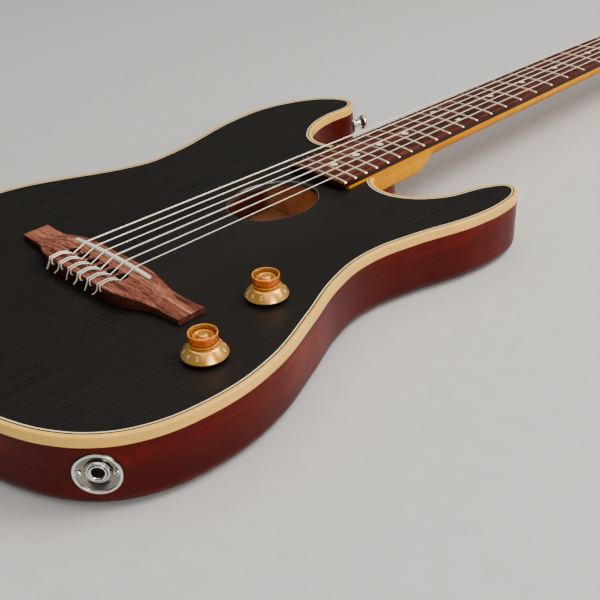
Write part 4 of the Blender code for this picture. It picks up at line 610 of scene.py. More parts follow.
class Finish:
    """A node material round one Principled shader, in the coordinates of the piece that it is on."""

    def __init__(self, name, **values):
        self.material = bpy.data.materials.new(name)
        self.material.use_nodes = True
        self.tree = self.material.node_tree
        self.shader = self.tree.nodes["Principled BSDF"]
        self.give(self.shader, values)
        self.coordinates = self.node("TexCoord").outputs["Object"]
        self.surface = None

    def set(self, socket, value):
        """Gives a socket an output of another node, a number, or a colour of three numbers."""
        if isinstance(value, bpy.types.NodeSocket):
            self.tree.links.new(value, socket)
        else:
            socket.default_value = (*value, 1.0) if socket.type == "RGBA" else value

    def give(self, node, values):
        for name, value in values.items():
            self.set(node.inputs[name.replace("_", " ")], value)

    def node(self, kind, **values):
        node = self.tree.nodes.new("ShaderNode" + kind)
        self.give(node, values)
        return node

    def stretched(self, stretch):
        return self.node("Mapping", Scale=stretch, Vector=self.coordinates).outputs["Vector"]

    def noise(self, stretch, detail=4.0, rough=0.6, distortion=0.0):
        """Noise with this many cells a metre along X, Y and Z."""
        return self.node("TexNoise", Vector=self.stretched(stretch), Scale=1.0, Detail=detail,
                         Roughness=rough, Distortion=distortion).outputs["Fac"]

    def ramp(self, share, stops):
        """Colours read along a share from 0 to 1."""
        node = self.node("ValToRGB", Fac=share)
        elements = node.color_ramp.elements
        while len(elements) < len(stops):
            elements.new(0.5)
        for element, (position, colour) in zip(elements, stops):
            element.position = position
            element.color = (*colour, 1.0)
        return node.outputs["Color"]

    def levels(self, share, low, high, from_low=0.0, from_high=1.0):
        return self.node("MapRange", Value=share, From_Min=from_low, From_Max=from_high, To_Min=low,
                         To_Max=high).outputs["Result"]

    def mix(self, share, first, second):
        """Two colours mixed by a share, each an output or three numbers."""
        node = self.node("Mix", Factor=share)
        node.data_type = "RGBA"
        for socket, colour in zip((s for s in node.inputs if s.type == "RGBA"), (first, second)):
            self.set(socket, colour)
        return next(s for s in node.outputs if s.type == "RGBA")

    def over(self, tone, other, share, *levels):
        """A tone with another laid over it, by the levels of a share."""
        return self.mix(self.levels(share, *levels), tone, other)

    def place(self, axis):
        """The place along one axis, in metres."""
        return self.node("SeparateXYZ", Vector=self.coordinates).outputs[axis]

    def upward(self):
        """1 where the surface faces up, 0 where it is upright."""
        normal = self.node("NewGeometry").outputs["Normal"]
        return self.node("SeparateXYZ", Vector=normal).outputs["Z"]

    def colour(self, source):
        self.give(self.shader, {"Base Color": source})

    def rough(self, share, low, high):
        self.give(self.shader, {"Roughness": self.levels(share, low, high)})

    def bump(self, share, depth):
        """Relief of this depth in metres, laid over any bump before it."""
        node = self.node("Bump", Strength=1.0, Distance=depth, Height=share)
        if self.surface is not None:
            self.set(node.inputs["Normal"], self.surface)
        self.surface = node.outputs["Normal"]
        self.give(self.shader, {"Normal": self.surface})
        return self


def scaled(tone, share):
    return tuple(share * c for c in tone)


def black_satin():
    """Thin black lacquer over open-grained wood, the grain running along the body."""
    finish = Finish("black_satin", Specular_IOR_Level=0.24)
    grain = finish.noise((900.0, 14.0, 900.0), 5.0, 0.65)
    drift = finish.noise((9.0, 6.0, 9.0), 3.0)
    finish.colour(finish.over((0.0030, 0.0024, 0.0018), (0.0120, 0.0094, 0.0064), grain, 0.0, 1.0, 0.35, 0.7))
    finish.rough(finish.mix(0.5, grain, drift), 0.30, 0.52)
    return finish.bump(grain, 0.00005).material


def stained_mahogany():
    """Wine-red stain under a soft gloss, with dark pores and a darker cast towards the back."""
    finish = Finish("stained_mahogany", Roughness=0.35, Specular_IOR_Level=0.06, Coat_Weight=0.12,
                    Coat_Roughness=0.12)
    figure = finish.noise((26.0, 5.0, 60.0), 4.0, 0.55, 0.4)
    pores = finish.noise((420.0, 26.0, 420.0), 3.0, 0.7)
    tone = finish.ramp(figure, [(0.25, (0.036, 0.0011, 0.0007)), (0.55, (0.105, 0.0036, 0.0012)),
                                (0.80, (0.240, 0.0140, 0.0032))])
    tone = finish.over(tone, (0.024, 0.0008, 0.0005), pores, 0.0, 0.45, 0.50, 0.72)
    finish.colour(finish.over(tone, (0.036, 0.0012, 0.0007), finish.place("Z"), 0.80, 0.0, 0.0, 0.034))
    return finish.bump(pores, 0.00003).material


def bare_mahogany():
    """Unfinished wood inside the chambers, with painted shade in dark red on the bass chamber's outer wall.
    """
    finish = Finish("bare_mahogany", Roughness=0.62, Specular_IOR_Level=0.2)
    figure = finish.noise((60.0, 6.0, 60.0), 4.0, 0.6, 0.5)
    pores = finish.noise((700.0, 40.0, 700.0), 3.0, 0.7)
    tone = finish.ramp(figure, [(0.30, (0.66, 0.250, 0.110)), (0.70, (0.98, 0.500, 0.260))])
    tone = finish.over(tone, (0.34, 0.110, 0.050), pores, 0.0, 0.6, 0.50, 0.70)
    # Painted shade: dark red below X -0.044, on the bass chamber's outer wall.
    finish.colour(finish.over(tone, (0.075, 0.0060, 0.0045), finish.place("X"), 0.95, 0.0, -0.0520, -0.0440))
    return finish.bump(pores, 0.00006).material


def binding_plastic(name, tone):
    """Aged plastic, a little darker in soft patches, with a clear gloss."""
    finish = Finish(name, Specular_IOR_Level=0.2, Coat_Weight=0.18, Coat_Roughness=0.08)
    patches = finish.noise((45.0, 45.0, 90.0), 3.0)
    fine = finish.noise((900.0, 900.0, 900.0), 2.0)
    aged = tuple(c * k for c, k in zip(tone, (0.92, 0.82, 0.70)))
    finish.colour(finish.over(tone, aged, patches, 0.0, 1.0, 0.35, 0.75))
    finish.rough(patches, 0.16, 0.34)
    return finish.bump(fine, 0.000008).material


def amber_maple():
    """Maple under amber lacquer, with faint growth lines and cross flame, and painted shade that darkens the
    faces turned down.
    """
    finish = Finish("amber_maple", Roughness=0.40, Specular_IOR_Level=0.02, Coat_Weight=0.05,
                    Coat_Roughness=0.08)
    lines = finish.noise((170.0, 5.0, 120.0), 4.0, 0.6, 0.6)
    flame = finish.noise((14.0, 110.0, 18.0), 2.0, 0.5, 0.5)
    tone = finish.ramp(lines, [(0.25, (0.58, 0.190, 0.0)), (0.55, (0.80, 0.330, 0.0)),
                               (0.80, (0.90, 0.440, 0.0))])
    tone = finish.over(tone, (0.58, 0.175, 0.0), flame, 0.0, 0.45, 0.35, 0.75)
    # Painted shade: downward faces, such as the neck's underside, are darkened to a deep amber.
    finish.colour(finish.over(tone, (0.32, 0.090, 0.0), finish.upward(), 0.8, 0.0, -0.9, -0.1))
    return finish.bump(lines, 0.00001).material


def rosewood(name, along, light, middle, dark):
    """Oiled rosewood: dark growth streaks and open pores that run along one axis, and painted shade that
    darkens faces not turned up.
    """
    finish = Finish(name, Specular_IOR_Level=0.16)

    def run(fine, coarse):
        return tuple(coarse if i == along else fine for i in range(3))

    broad = finish.noise(run(110.0, 4.5), 4.0, 0.6, 0.9)
    streaks = finish.noise(run(420.0, 9.0), 4.0, 0.65, 0.5)
    pores = finish.noise(run(1500.0, 90.0), 2.0, 0.7)
    tone = finish.ramp(broad, [(0.33, dark), (0.50, middle), (0.66, light)])
    tone = finish.over(tone, scaled(dark, 0.30), streaks, 0.0, 0.9, 0.52, 0.66)
    tone = finish.over(tone, scaled(dark, 0.25), pores, 0.0, 0.85, 0.52, 0.62)
    # Painted shade: faces that don't face up, such as the bridge's sides and ends, take the dark tone.
    finish.colour(finish.over(tone, dark, finish.upward(), 0.85, 0.0, 0.1, 0.9))
    finish.rough(streaks, 0.36, 0.60)
    return finish.bump(pores, 0.00008).bump(streaks, 0.00004).material


def metal(name, tone, low, high, wear=220.0):
    """Plated or brushed metal whose gloss drifts with handling."""
    finish = Finish(name, Metallic=1.0)
    smears = finish.noise((wear, wear, wear), 4.0, 0.6)
    scratches = finish.noise((2200.0, 300.0, 2200.0), 2.0)
    finish.colour(finish.over(tone, scaled(tone, 0.75), smears, 0.0, 0.35))
    finish.rough(smears, low, high)
    return finish.bump(scratches, 0.000004).material


def clear_amber():
    """The knob's clear outer plastic."""
    finish = Finish("clear_amber", Transmission_Weight=0.8, IOR=1.22, Coat_Weight=0.6, Coat_Roughness=0.03)
    haze = finish.noise((180.0, 180.0, 180.0), 2.0)
    finish.colour(finish.over((0.95, 0.38, 0.025), (0.95, 0.32, 0.015), haze, 0.0, 0.4))
    finish.rough(haze, 0.02, 0.05)
    return finish.material


def gold_paint(name, dark, light):
    """Gold paint on the knob's inner face, seen through the plastic."""
    finish = Finish(name, Metallic=0.75, Coat_Weight=0.4, Coat_Roughness=0.04)
    sweep = finish.noise((90.0, 90.0, 90.0), 2.0)
    finish.colour(finish.ramp(sweep, [(0.3, dark), (0.7, light)]))
    finish.rough(sweep, 0.22, 0.28)
    return finish.material


def nylon():
    """Clear drawn nylon, slightly milky."""
    finish = Finish("nylon", Subsurface_Weight=0.3, Specular_IOR_Level=0.6)
    along = finish.noise((60.0, 60.0, 60.0), 3.0)
    finish.colour(finish.mix(along, (0.92, 0.82, 0.60), (1.00, 0.92, 0.72)))
    finish.rough(along, 0.12, 0.26)
    return finish.material


def wound():
    """A silver-plated winding over a nylon core, its turns close together."""
    finish = Finish("wound_string", Metallic=0.35)
    wave = finish.node("TexWave", Vector=finish.stretched((0.0, 5200.0, 0.0)), Scale=1.0, Distortion=0.0,
                       Detail=0.0)
    wave.bands_direction = "Y"
    turns = wave.outputs["Fac"]
    finish.colour(finish.mix(turns, (0.88, 0.80, 0.62), (1.00, 0.92, 0.74)))
    finish.rough(turns, 0.28, 0.38)
    return finish.bump(turns, 0.000005).material


def plastic(name, tone, rough, speckle=600.0, depth=0.00001, **values):
    """Moulded plastic, bone, felt or rubber: a tone with fine mottling and its own surface grain."""
    finish = Finish(name, **values)
    mottle = finish.noise((speckle, speckle, speckle), 3.0)
    broad = finish.noise((70.0, 70.0, 70.0), 3.0)
    finish.colour(finish.over(tone, scaled(tone, 0.78), broad, 0.0, 0.8))
    finish.rough(broad, 0.75 * rough, min(1.25 * rough, 1.0))
    return finish.bump(mottle, depth).material


def make_looks():
    return {
        "black_satin": black_satin(),
        "mahogany": stained_mahogany(),
        "bare": bare_mahogany(),
        "cream": binding_plastic("cream_binding", (0.95, 0.56, 0.105)),
        "white": binding_plastic("white_line", (0.98, 0.88, 0.64)),
        "maple": amber_maple(),
        "board": rosewood("board_rosewood", 1, (0.170, 0.036, 0.022), (0.075, 0.014, 0.009),
                          (0.022, 0.0045, 0.003)),
        "bridge": rosewood("bridge_rosewood", 0, (0.540, 0.215, 0.130), (0.240, 0.070, 0.040),
                           (0.060, 0.015, 0.009)),
        # Painted shade: a near-black copy of the bridge's rosewood for the walls of its slot, wells and tie
        # holes.
        "bridge_bore_shade": rosewood("rosewood_bore_shade", 0, (0.030, 0.011, 0.008), (0.016, 0.006, 0.004),
                                (0.008, 0.003, 0.002)),
        "fret": metal("fret_nickel", (0.84, 0.68, 0.46), 0.22, 0.34),
        "chrome": metal("chrome", (0.86, 0.84, 0.81), 0.04, 0.14),
        "bowl": metal("spun_nickel", (0.30, 0.27, 0.24), 0.10, 0.24),
        "steel": metal("zinc_steel", (0.60, 0.60, 0.61), 0.22, 0.45),
        "braid": metal("copper_braid", (0.62, 0.36, 0.18), 0.30, 0.50, 900.0),
        "gold": gold_paint("gold_paint", (1.00, 0.440, 0.050), (1.00, 0.620, 0.140)),
        "deep_gold": gold_paint("deep_gold_paint", (0.66, 0.190, 0.010), (0.86, 0.300, 0.022)),
        "amber": clear_amber(),
        # Painted highlight: a bright opaque amber for the knobs' thin rim rings.
        "amber_painted_highlight": plastic("amber_painted_highlight", (1.0, 0.50, 0.06), 0.18, 300.0, 0.000004, Coat_Weight=0.8),
        "amber_neck": plastic("amber_neck", (0.42, 0.110, 0.006), 0.20, 300.0, 0.000004, Coat_Weight=0.6),
        "nylon": nylon(),
        "wound": wound(),
        "bone": plastic("bone", (0.82, 0.77, 0.62), 0.28, 900.0, Subsurface_Weight=0.15),
        "dot": plastic("pearl_dot", (0.98, 0.86, 0.60), 0.30, 500.0, 0.000005, Specular_IOR_Level=0.3),
        "digit": plastic("dial_digits", (0.98, 0.76, 0.62), 0.40),
        "button": plastic("cream_button", (0.76, 0.66, 0.44), 0.22, 400.0, 0.000008, Coat_Weight=0.8),
        "felt": plastic("black_felt", (0.020, 0.019, 0.018), 0.95, 1800.0, 0.00025, Sheen_Weight=0.4),
        "cover": plastic("cover_plastic", (0.018, 0.018, 0.018), 0.42, 1500.0, 0.00004),
        "battery": plastic("battery_case", (0.10, 0.10, 0.11), 0.35),
        "circuit": plastic("circuit_lacquer", (0.02, 0.12, 0.05), 0.40),
        "rubber": plastic("lead_rubber", (0.02, 0.02, 0.02), 0.55),
        "rim": plastic("soundhole_rim", (0.050, 0.046, 0.042), 0.16, 300.0, 0.000004, Coat_Weight=1.0),
        # Painted shade: near-black walls for bores, recesses and screw drives.
        "shade_black": plastic("painted_shade_black", (0.006, 0.006, 0.006), 0.6),
        "floor": plastic("pale_floor", (0.62, 0.61, 0.60), 0.65, 300.0, 0.00002),
    }


# Body

def cavity_outline(margin):
    """The control cavity's outline, moved outward by a margin about the same corner centres."""
    moved = []
    for here, back, ahead in corner_ways(CONTROL_CAVITY):
        side = Vector((ahead.y, -ahead.x))
        out = (side - Vector((back.y, -back.x))).normalized()
        moved.append(here + out * (margin / out.dot(side)))
    return rounded(moved, CONTROL_CORNER + margin)


def pocket(floor):
    """The space in the body for the neck's heel."""
    near = board_half_width(POCKET_END) + FIT
    far = board_half_width(SHAFT_START) + FIT
    outline = [(-near, POCKET_END), (near, POCKET_END), (far, SHAFT_START), (-far, SHAFT_START)]
    return prism(outline, floor, TOP + OPEN)


def make_body():
    ledge = BINDING_LOW - JOINT
    rings = [BODY.ring(BACK_ROUND * inset, BACK_ROUND * rise) for inset, rise in quarter(10)]
    rings += [BODY.ring(0.0, ledge), BODY.ring(TOP_INSET, ledge),
              BODY.ring(TOP_INSET, TOP_UNDERSIDE - JOINT)]
    core = piece("body_shell", [loft(rings)], "mahogany", ["body_core"])
    above = TOP + OPEN
    low, high = LEAD_CHANNEL
    cut(core, [
        [prism(rounded(CHAMBER, CHAMBER_CORNER), CHAMBER_FLOOR, above)],
        [prism(cavity_outline(0.0), -PAST, above)],
        [block((*low, TOP_UNDERSIDE - LEAD_CHANNEL_DEPTH), (*high, above))],
        [pocket(POCKET_FLOOR)],
    ], "bare")
    jack = turned(column(-JACK_BORE_DEPTH, (CUP_WELL + FIT, -CUP_SEAT - FIT), (CUP_RADIUS + FIT, OPEN)))
    strap = turned(column(-STRAP_BORE_DEPTH, (STRAP_BORE, -STRAP_SEAT_DEPTH),
                          (STRAP_SEAT + FIT, OPEN + PAST)), 48)
    ferrule = turned(column(-PAST, (FERRULE_RADIUS + FIT, FERRULE_DEPTH + FIT),
                            (SCREW_BORE, POCKET_FLOOR + PAST)), 48)
    # The cover recess, jack bore, strap bores and ferrule seats get near-black walls as painted shade.
    cut(core, [
        [prism(cavity_outline(COVER_MARGIN + FIT), -PAST, COVER_RECESS)],
        [place(jack, JACK)],
        [place(strap, spot) for spot in STRAPS.values()],
        [place(ferrule, at(x, y)) for x, y in NECK_SCREWS],
    ], "shade_black")


def make_top():
    groove = TOP - LINE_DEPTH - JOINT
    edge = TOP_INSET - TOP_OVERLAP
    top = piece("top_plate", [loft([
        BODY.ring(edge, TOP_UNDERSIDE), BODY.ring(edge, TOP),
        BODY.ring(LINE_START - JOINT, TOP), BODY.ring(LINE_START - JOINT, groove),
        BODY.ring(LINE_END + JOINT, groove), BODY.ring(LINE_END + JOINT, TOP),
    ])], "black_satin", ["body_top"])
    levels = [(TOP_UNDERSIDE - PAST, 0.0)]
    levels += [(TOP - SOUNDHOLE_ROUND * drop, SOUNDHOLE_ROUND * wider) for drop, wider in quarter(6)]
    levels.append((TOP + 0.001, SOUNDHOLE_ROUND))
    half_x, half_y = SOUNDHOLE_HALF
    hole = loft([[(x, y, z) for x, y in ellipse(SOUNDHOLE, half_x + wider, half_y + wider, 128)]
                 for z, wider in levels])
    middles = [sum(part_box(node), Vector()) / 2.0 for node in KNOB_NODES]
    pots = [place(cylinder(POT_BORE, 0.0, TOP + OPEN), at(p.x, p.y)) for p in middles]
    cut(top, [[hole]], "rim", 50.0)
    cut(top, [[pocket(0.0)], pots], "black_satin", 50.0)


def make_trim():
    """The cream binding with its rounded edge, and the white line that fills the top's groove."""
    edge = [(BINDING_ROUND * inset, TOP - BINDING_ROUND * drop) for drop, inset in quarter(6)]
    strip = [(0.0, BINDING_LOW)] + edge + [(BINDING_WIDTH, TOP), (BINDING_WIDTH, BINDING_LOW)]
    low = TOP - LINE_DEPTH
    line = [(LINE_START, low), (LINE_START, TOP), (LINE_END, TOP), (LINE_END, low)]
    for name, section, look, node in (("binding_strip", strip, "cream", "binding"),
                                      ("purfling_line", line, "white", "purfling")):
        cut(piece(name, [BODY.hoop(section)], look, [node]), [[pocket(0.0)]], look)


# Neck and board

def eased(value, low, high):
    t = min(max((value - low) / (high - low), 0.0), 1.0)
    return t * t * (3.0 - 2.0 * t)


def board_half_width(y):
    share = (min(y, SCALE) - BOARD_END) / (SCALE - BOARD_END)
    return 0.5 * (BODY_END_WIDTH + (NUT_END_WIDTH - BODY_END_WIDTH) * share)


def board_crown(x):
    """The height of the board's radiused face."""
    return BOARD_TOP - BOARD_RADIUS + math.sqrt(BOARD_RADIUS ** 2 - x ** 2)


def fret_y(number):
    return SCALE * 2.0 ** (-number / 12.0)


def neck_half_width(y):
    """The board's taper up to the nut, then the head's outline with its rounded end."""
    if y <= SCALE:
        return board_half_width(y)
    past = y - SCALE
    wider = HEAD_OUTLINE[-1][1]
    for low, high in zip(HEAD_OUTLINE, HEAD_OUTLINE[1:]):
        if past < high[0]:
            wider = low[1] + (high[1] - low[1]) * max(0.0, past - low[0]) / (high[0] - low[0])
            break
    half = NUT_END_WIDTH / 2.0 + wider
    into_corner = y - (HEAD_END - HEAD_CORNER)
    if into_corner > 0.0:
        half -= HEAD_CORNER - math.sqrt(max(HEAD_CORNER ** 2 - into_corner ** 2, 0.0))
        half -= HEAD_END_TAPER * into_corner
    return half


def neck_section(y):
    """Flat on top, and below it half of a superellipse, square at the heel and round on the shaft."""
    top = NECK_PLANE - HEAD_DROP * eased(y - SCALE, *HEAD_TOP_STEP)
    to_shaft = eased(y, HEEL_END, SHAFT_START)
    to_head = eased(y - SCALE, *HEAD_BACK_STEP)
    along = (y - SHAFT_START) / (SCALE - SHAFT_START)
    shaft = NECK_PLANE - (SHAFT_DEPTH[0] + (SHAFT_DEPTH[1] - SHAFT_DEPTH[0]) * along)
    heel = POCKET_FLOOR + FIT
    lower = heel + (shaft - heel) * to_shaft
    lower += (HEAD_BACK - lower) * to_head
    square = HEEL_SQUARENESS + (SHAFT_SQUARENESS - HEEL_SQUARENESS) * to_shaft
    square += (HEEL_SQUARENESS - square) * to_head
    half = neck_half_width(y)
    ring = []
    for k in range(NECK_POINTS):
        angle = math.pi * k / (NECK_POINTS - 1)
        side = math.copysign(abs(math.cos(angle)) ** (2.0 / square), math.cos(angle))
        ring.append((half * side, y, top - (top - lower) * abs(math.sin(angle)) ** (2.0 / square)))
    return ring


def make_neck():
    start = POCKET_END + 4.0 * FIT
    count = math.ceil((HEAD_END - start) / NECK_STEP)
    stations = [start + (HEAD_END - HEAD_CORNER - start) * k / count for k in range(count)]
    stations += [HEAD_END - HEAD_CORNER * (1.0 - math.sin(math.radians(a))) for a in range(0, 90, 6)]
    stations.append(HEAD_END - HEAD_END_GAP)
    neck = piece("neck_shaft", [loft([neck_section(y) for y in stations])], "maple", ["neck"], 40.0)
    low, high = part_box("truss_rod")
    channel = block((low.x - FIT, POCKET_END - PAST, low.z - FIT),
                    (high.x + FIT, high.y + FIT, NECK_PLANE + PAST))
    bushings = [place(cylinder(HEAD_BORE, HEAD_BACK - PAST, NECK_PLANE), post_axis(n)) for n in STRINGS]
    screws = [place(cylinder(SCREW_BORE, 0.0, NECK_SCREW_LENGTH), at(x, y)) for x, y in NECK_SCREWS]
    cut(neck, [[channel], bushings, screws], "maple", 40.0)


def board_ring(y, half, steps=16):
    across = [half * (1.0 - 2.0 * k / steps) for k in range(steps + 1)]
    return [(-half, y, BOARD_LOW), (half, y, BOARD_LOW)] + [(x, y, board_crown(x)) for x in across]


def make_board():
    stations = [(BOARD_END + BOARD_CORNER * along, BOARD_CORNER * in_from) for in_from, along in quarter(8)]
    stations += [(BOARD_END + BOARD_STEP * k, 0.0) for k in range(1, 24)]
    stations.append((SCALE - FIT, 0.0))
    rings = [board_ring(y, board_half_width(y) - in_from) for y, in_from in stations if y <= SCALE - FIT]
    piece("fretboard_wood", [loft(rings)], "board", ["fretboard"])
    piece("fret_wires", [fret(fret_y(n)) for n in range(1, FRET_COUNT + 1)], "fret", sharp=60.0)
    dots = []
    for number in DOT_FRETS + (OCTAVE_FRET,):
        y = 0.5 * (fret_y(number - 1) + fret_y(number))
        for x in ((-OCTAVE_X, OCTAVE_X) if number == OCTAVE_FRET else (0.0,)):
            lens = [(0.0, -DOT_DEPTH), (DOT_RADIUS, -DOT_DEPTH), (DOT_RADIUS, 0.00001), (0.0, 0.00005)]
            dots.append(place(turned(lens, 48), at(x, y, board_crown(x))))
            side = (-board_half_width(y), y + 0.3 * x, 0.5 * (BOARD_LOW + BOARD_TOP))
            dot = cylinder(SIDE_DOT_RADIUS, -SIDE_DOT_DEPTH, 0.00003, 24)
            dots.append(place(dot, facing(side, (-1.0, 0.0, 0.0))))
    piece("position_dots", dots, "dot")


def fret(y, steps=14, arc_steps=8):
    """A fret with a rounded crown, bent over the board, its ends sloping in."""
    rings = []
    for k in range(steps + 1):
        share = 1.0 - 2.0 * k / steps
        x = board_half_width(y) * share
        low = board_crown(x) - FRET_SINK
        slope = FRET_END_SLOPE if k in (0, steps) else 0.0
        ring = []
        for j in range(arc_steps + 1):
            angle = math.pi * j / arc_steps
            rise = math.sin(angle) ** 0.8
            ring.append((x - math.copysign(slope * rise, share), y - 0.5 * FRET_WIDTH * math.cos(angle),
                         low + (FRET_HEIGHT + FRET_SINK) * rise))
        rings.append(ring)
    return loft(rings)


def make_nut():
    half = NUT_END_WIDTH / 2.0 - NUT_INSET
    low = NECK_PLANE + FIT
    front = NUT_Y + NUT_WIDTH
    rings = []
    for k in range(25):
        x = half * (k / 12.0 - 1.0)
        high = board_crown(x) + FRET_HEIGHT + STRING_OVER_FRET + STRING_DIAMETERS[0] + NUT_OVER_STRING
        section = [(NUT_Y, low), (NUT_Y, high), (front - NUT_SLOPE, high), (front, high - NUT_SLOPE),
                   (front, low)]
        rings.append([(x, y, z) for y, z in softened(section, 0.0004)])
    slots = []
    for number in STRINGS:
        spot = nut_point(number)
        along = (spot - saddle_point(number)).normalized()
        for lift in (UP * rise for rise in SLOT_LIFTS):
            line = [spot - along * PAST + lift, spot + along * SLOT_AHEAD + lift]
            slots.append([tube(line, string_radius(number) + SLOT_ROOM)])
    cut(piece("nut_bone", [loft(rings)], "bone", ["nut"]), slots, "bone")


# Bridge and strings

def make_bridge():
    rear = smooth([(x, y, height) for x, y, _, height in BRIDGE_STATIONS], False, BRIDGE_STEP)
    front = smooth([(x, y, height) for x, _, y, height in BRIDGE_STATIONS], False, BRIDGE_STEP)
    last = len(front) - 1
    half = []
    for k in range(last + 1):
        x, low_y, height = rear[round(k * (len(rear) - 1) / last)]
        half.append((x, low_y, min(front, key=lambda p: abs(p.x - x)).y, height))
    in_from, down = BRIDGE_BEVEL
    rings = []
    for x, low_y, high_y, height in [(-p[0], *p[1:]) for p in reversed(half[1:])] + half:
        z = TOP + height
        section = [(low_y, BRIDGE_LOW), (high_y, BRIDGE_LOW), (high_y, z - down), (high_y - in_from, z),
                   (low_y + in_from, z), (low_y, z - down)]
        rings.append([(x, y, z) for y, z in softened(section, BRIDGE_EDGE, 2)])
    bridge = piece("bridge_wood", [loft(rings)], "bridge", ["bridge"])
    slot = prism(bar_outline(SADDLE_LENGTH + SADDLE_ROOM, SADDLE_WIDTH + SADDLE_ROOM), TOP + SLOT_FLOOR,
                 TOP + 2.0 * OPEN)
    well_y, half_x, half_y = WELL
    levels = [(TOP + rise, half_x + wide + WELL_SIDE_ROOM, half_y + wide) for rise, wide in WELL_LEVELS]
    wells, holes = [], []
    for number in STRINGS:
        x = string_x(number, STRING_SPREAD)
        wells.append(loft([[(*p, z) for p in ellipse((x, well_y), across, along, 48)]
                           for z, across, along in levels]))
        hole = cylinder(string_radius(number) + TIE_HOLE_ROOM, 0.0, 3.0 * OPEN, 24)
        holes.append(place(hole, facing((x, well_y, TOP + TIE_HOLE_HEIGHT), (0.0, -1.0, 0.0))))
    # The walls of the slot, wells and tie holes take painted shade, a near-black rosewood.
    cut(bridge, [[slot], wells, holes], "bridge_bore_shade")


def bar_outline(length, width):
    """A straight bar's outline along X at the saddle, with round ends."""
    radius = width / 2.0
    outline = []
    for side in (1.0, -1.0):
        for k in range(13):
            angle = math.radians(-90.0 + 15.0 * k) + (0.0 if side > 0.0 else math.pi)
            outline.append((side * (length / 2.0 - radius) + radius * math.cos(angle),
                            SADDLE_Y + radius * math.sin(angle)))
    return outline


def saddle_crown(x):
    return TOP + SADDLE_CROWN - x * x / (2.0 * SADDLE_RADIUS)


def make_saddle(steps=60):
    """A bone bar whose crown follows the strings and rounds over across its width."""
    low = TOP + SLOT_FLOOR + PAST
    half = SADDLE_LENGTH / 2.0
    radius = SADDLE_WIDTH / 2.0
    rings = []
    for k in range(steps + 1):
        x = -half * math.cos(math.pi * k / steps)
        into = min(half - abs(x), radius)
        wide = math.sqrt(max(radius ** 2 - (radius - into) ** 2, 0.00012 ** 2))
        high = saddle_crown(x) - 0.0006 * (1.0 - wide / radius)
        section = [(SADDLE_Y - wide, low), (SADDLE_Y + wide, low), (SADDLE_Y + wide, high - 0.0003),
                   (SADDLE_Y, high), (SADDLE_Y - wide, high - 0.0003)]
        rings.append([(x, y, z) for y, z in softened(section, 0.0008, 4)])
    piece("saddle_bone", [loft(rings)], "bone", ["saddle"], 60.0)


def string_x(number, spread):
    return spread * (0.5 - (number - 1) / 5.0)


def string_radius(number):
    return STRING_DIAMETERS[number - 1] / 2.0


def saddle_point(number):
    x = string_x(number, STRING_SPREAD)
    return Vector((x, SADDLE_Y, saddle_crown(x) + FIT + string_radius(number)))


def nut_point(number):
    x = string_x(number, NUT_SPREAD)
    return Vector((x, SCALE, board_crown(x) + FRET_HEIGHT + STRING_OVER_FRET + string_radius(number)))


def head_side(number):
    """Strings 1 to 3 go to the treble side of the head, 4 to 6 to the bass side."""
    return 1.0 if number <= 3 else -1.0


def post_axis(number):
    past = TUNER_PAST_NUT[min(number, 7 - number) - 1]
    return at(head_side(number) * POST_X, SCALE + past)


def tie_route(number):
    """Offsets of the knot: the tail, a strand forward over the tie block, under the string, and back."""
    clear = FIT + string_radius(number) + 0.0003
    diagonal = clear * math.sqrt(0.5)
    _, rear, _, block_top = BRIDGE_STATIONS[0]
    well_y, well_x, well_reach = WELL
    top = block_top + clear
    behind = rear - clear
    reach = TIE_LOOP_REACH
    wall = well_y - 0.96 * well_reach * math.sqrt(1.0 - (reach / well_x) ** 2)
    over_rear = rear + clear
    over_front = wall - 0.4 * clear
    in_well = wall + clear + 0.0004
    half_down = 0.5 * (block_top + WELL_FLOOR)
    middle = 0.5 * (over_front + over_rear)
    shoulder = block_top + diagonal
    splay = TAIL_SPLAY[number - 1]
    return [
        (-(2.7 + splay) * reach, behind - 0.0018 - 0.0010 * splay, 0.0026 + 0.0012 * splay),
        (-2.3 * reach, behind - 0.0011, 0.0058),
        (-2.0 * reach, behind, block_top - 0.0008), (-2.0 * reach, rear - diagonal, shoulder),
        (-1.9 * reach, over_rear, top), (-1.4 * reach, middle, top + TIE_BOW),
        (-1.0 * reach, over_front, top), (-1.0 * reach, wall + diagonal, shoulder),
        (-1.0 * reach, in_well, half_down), (0.0, in_well + 0.0006, WELL_FLOOR + clear + 0.0001),
        (1.0 * reach, in_well, half_down), (1.0 * reach, wall + diagonal, shoulder),
        (0.9 * reach, over_front, top), (0.2 * reach, middle, top + TIE_BOW),
        (-0.4 * reach, over_rear, top), (-0.4 * reach, rear - diagonal, shoulder),
        (-0.4 * reach, behind, block_top - 0.0008),
        (-0.1 * reach, behind - 0.0001, TIE_HOLE_HEIGHT + 0.0007), (0.0, rear, TIE_HOLE_HEIGHT),
    ]


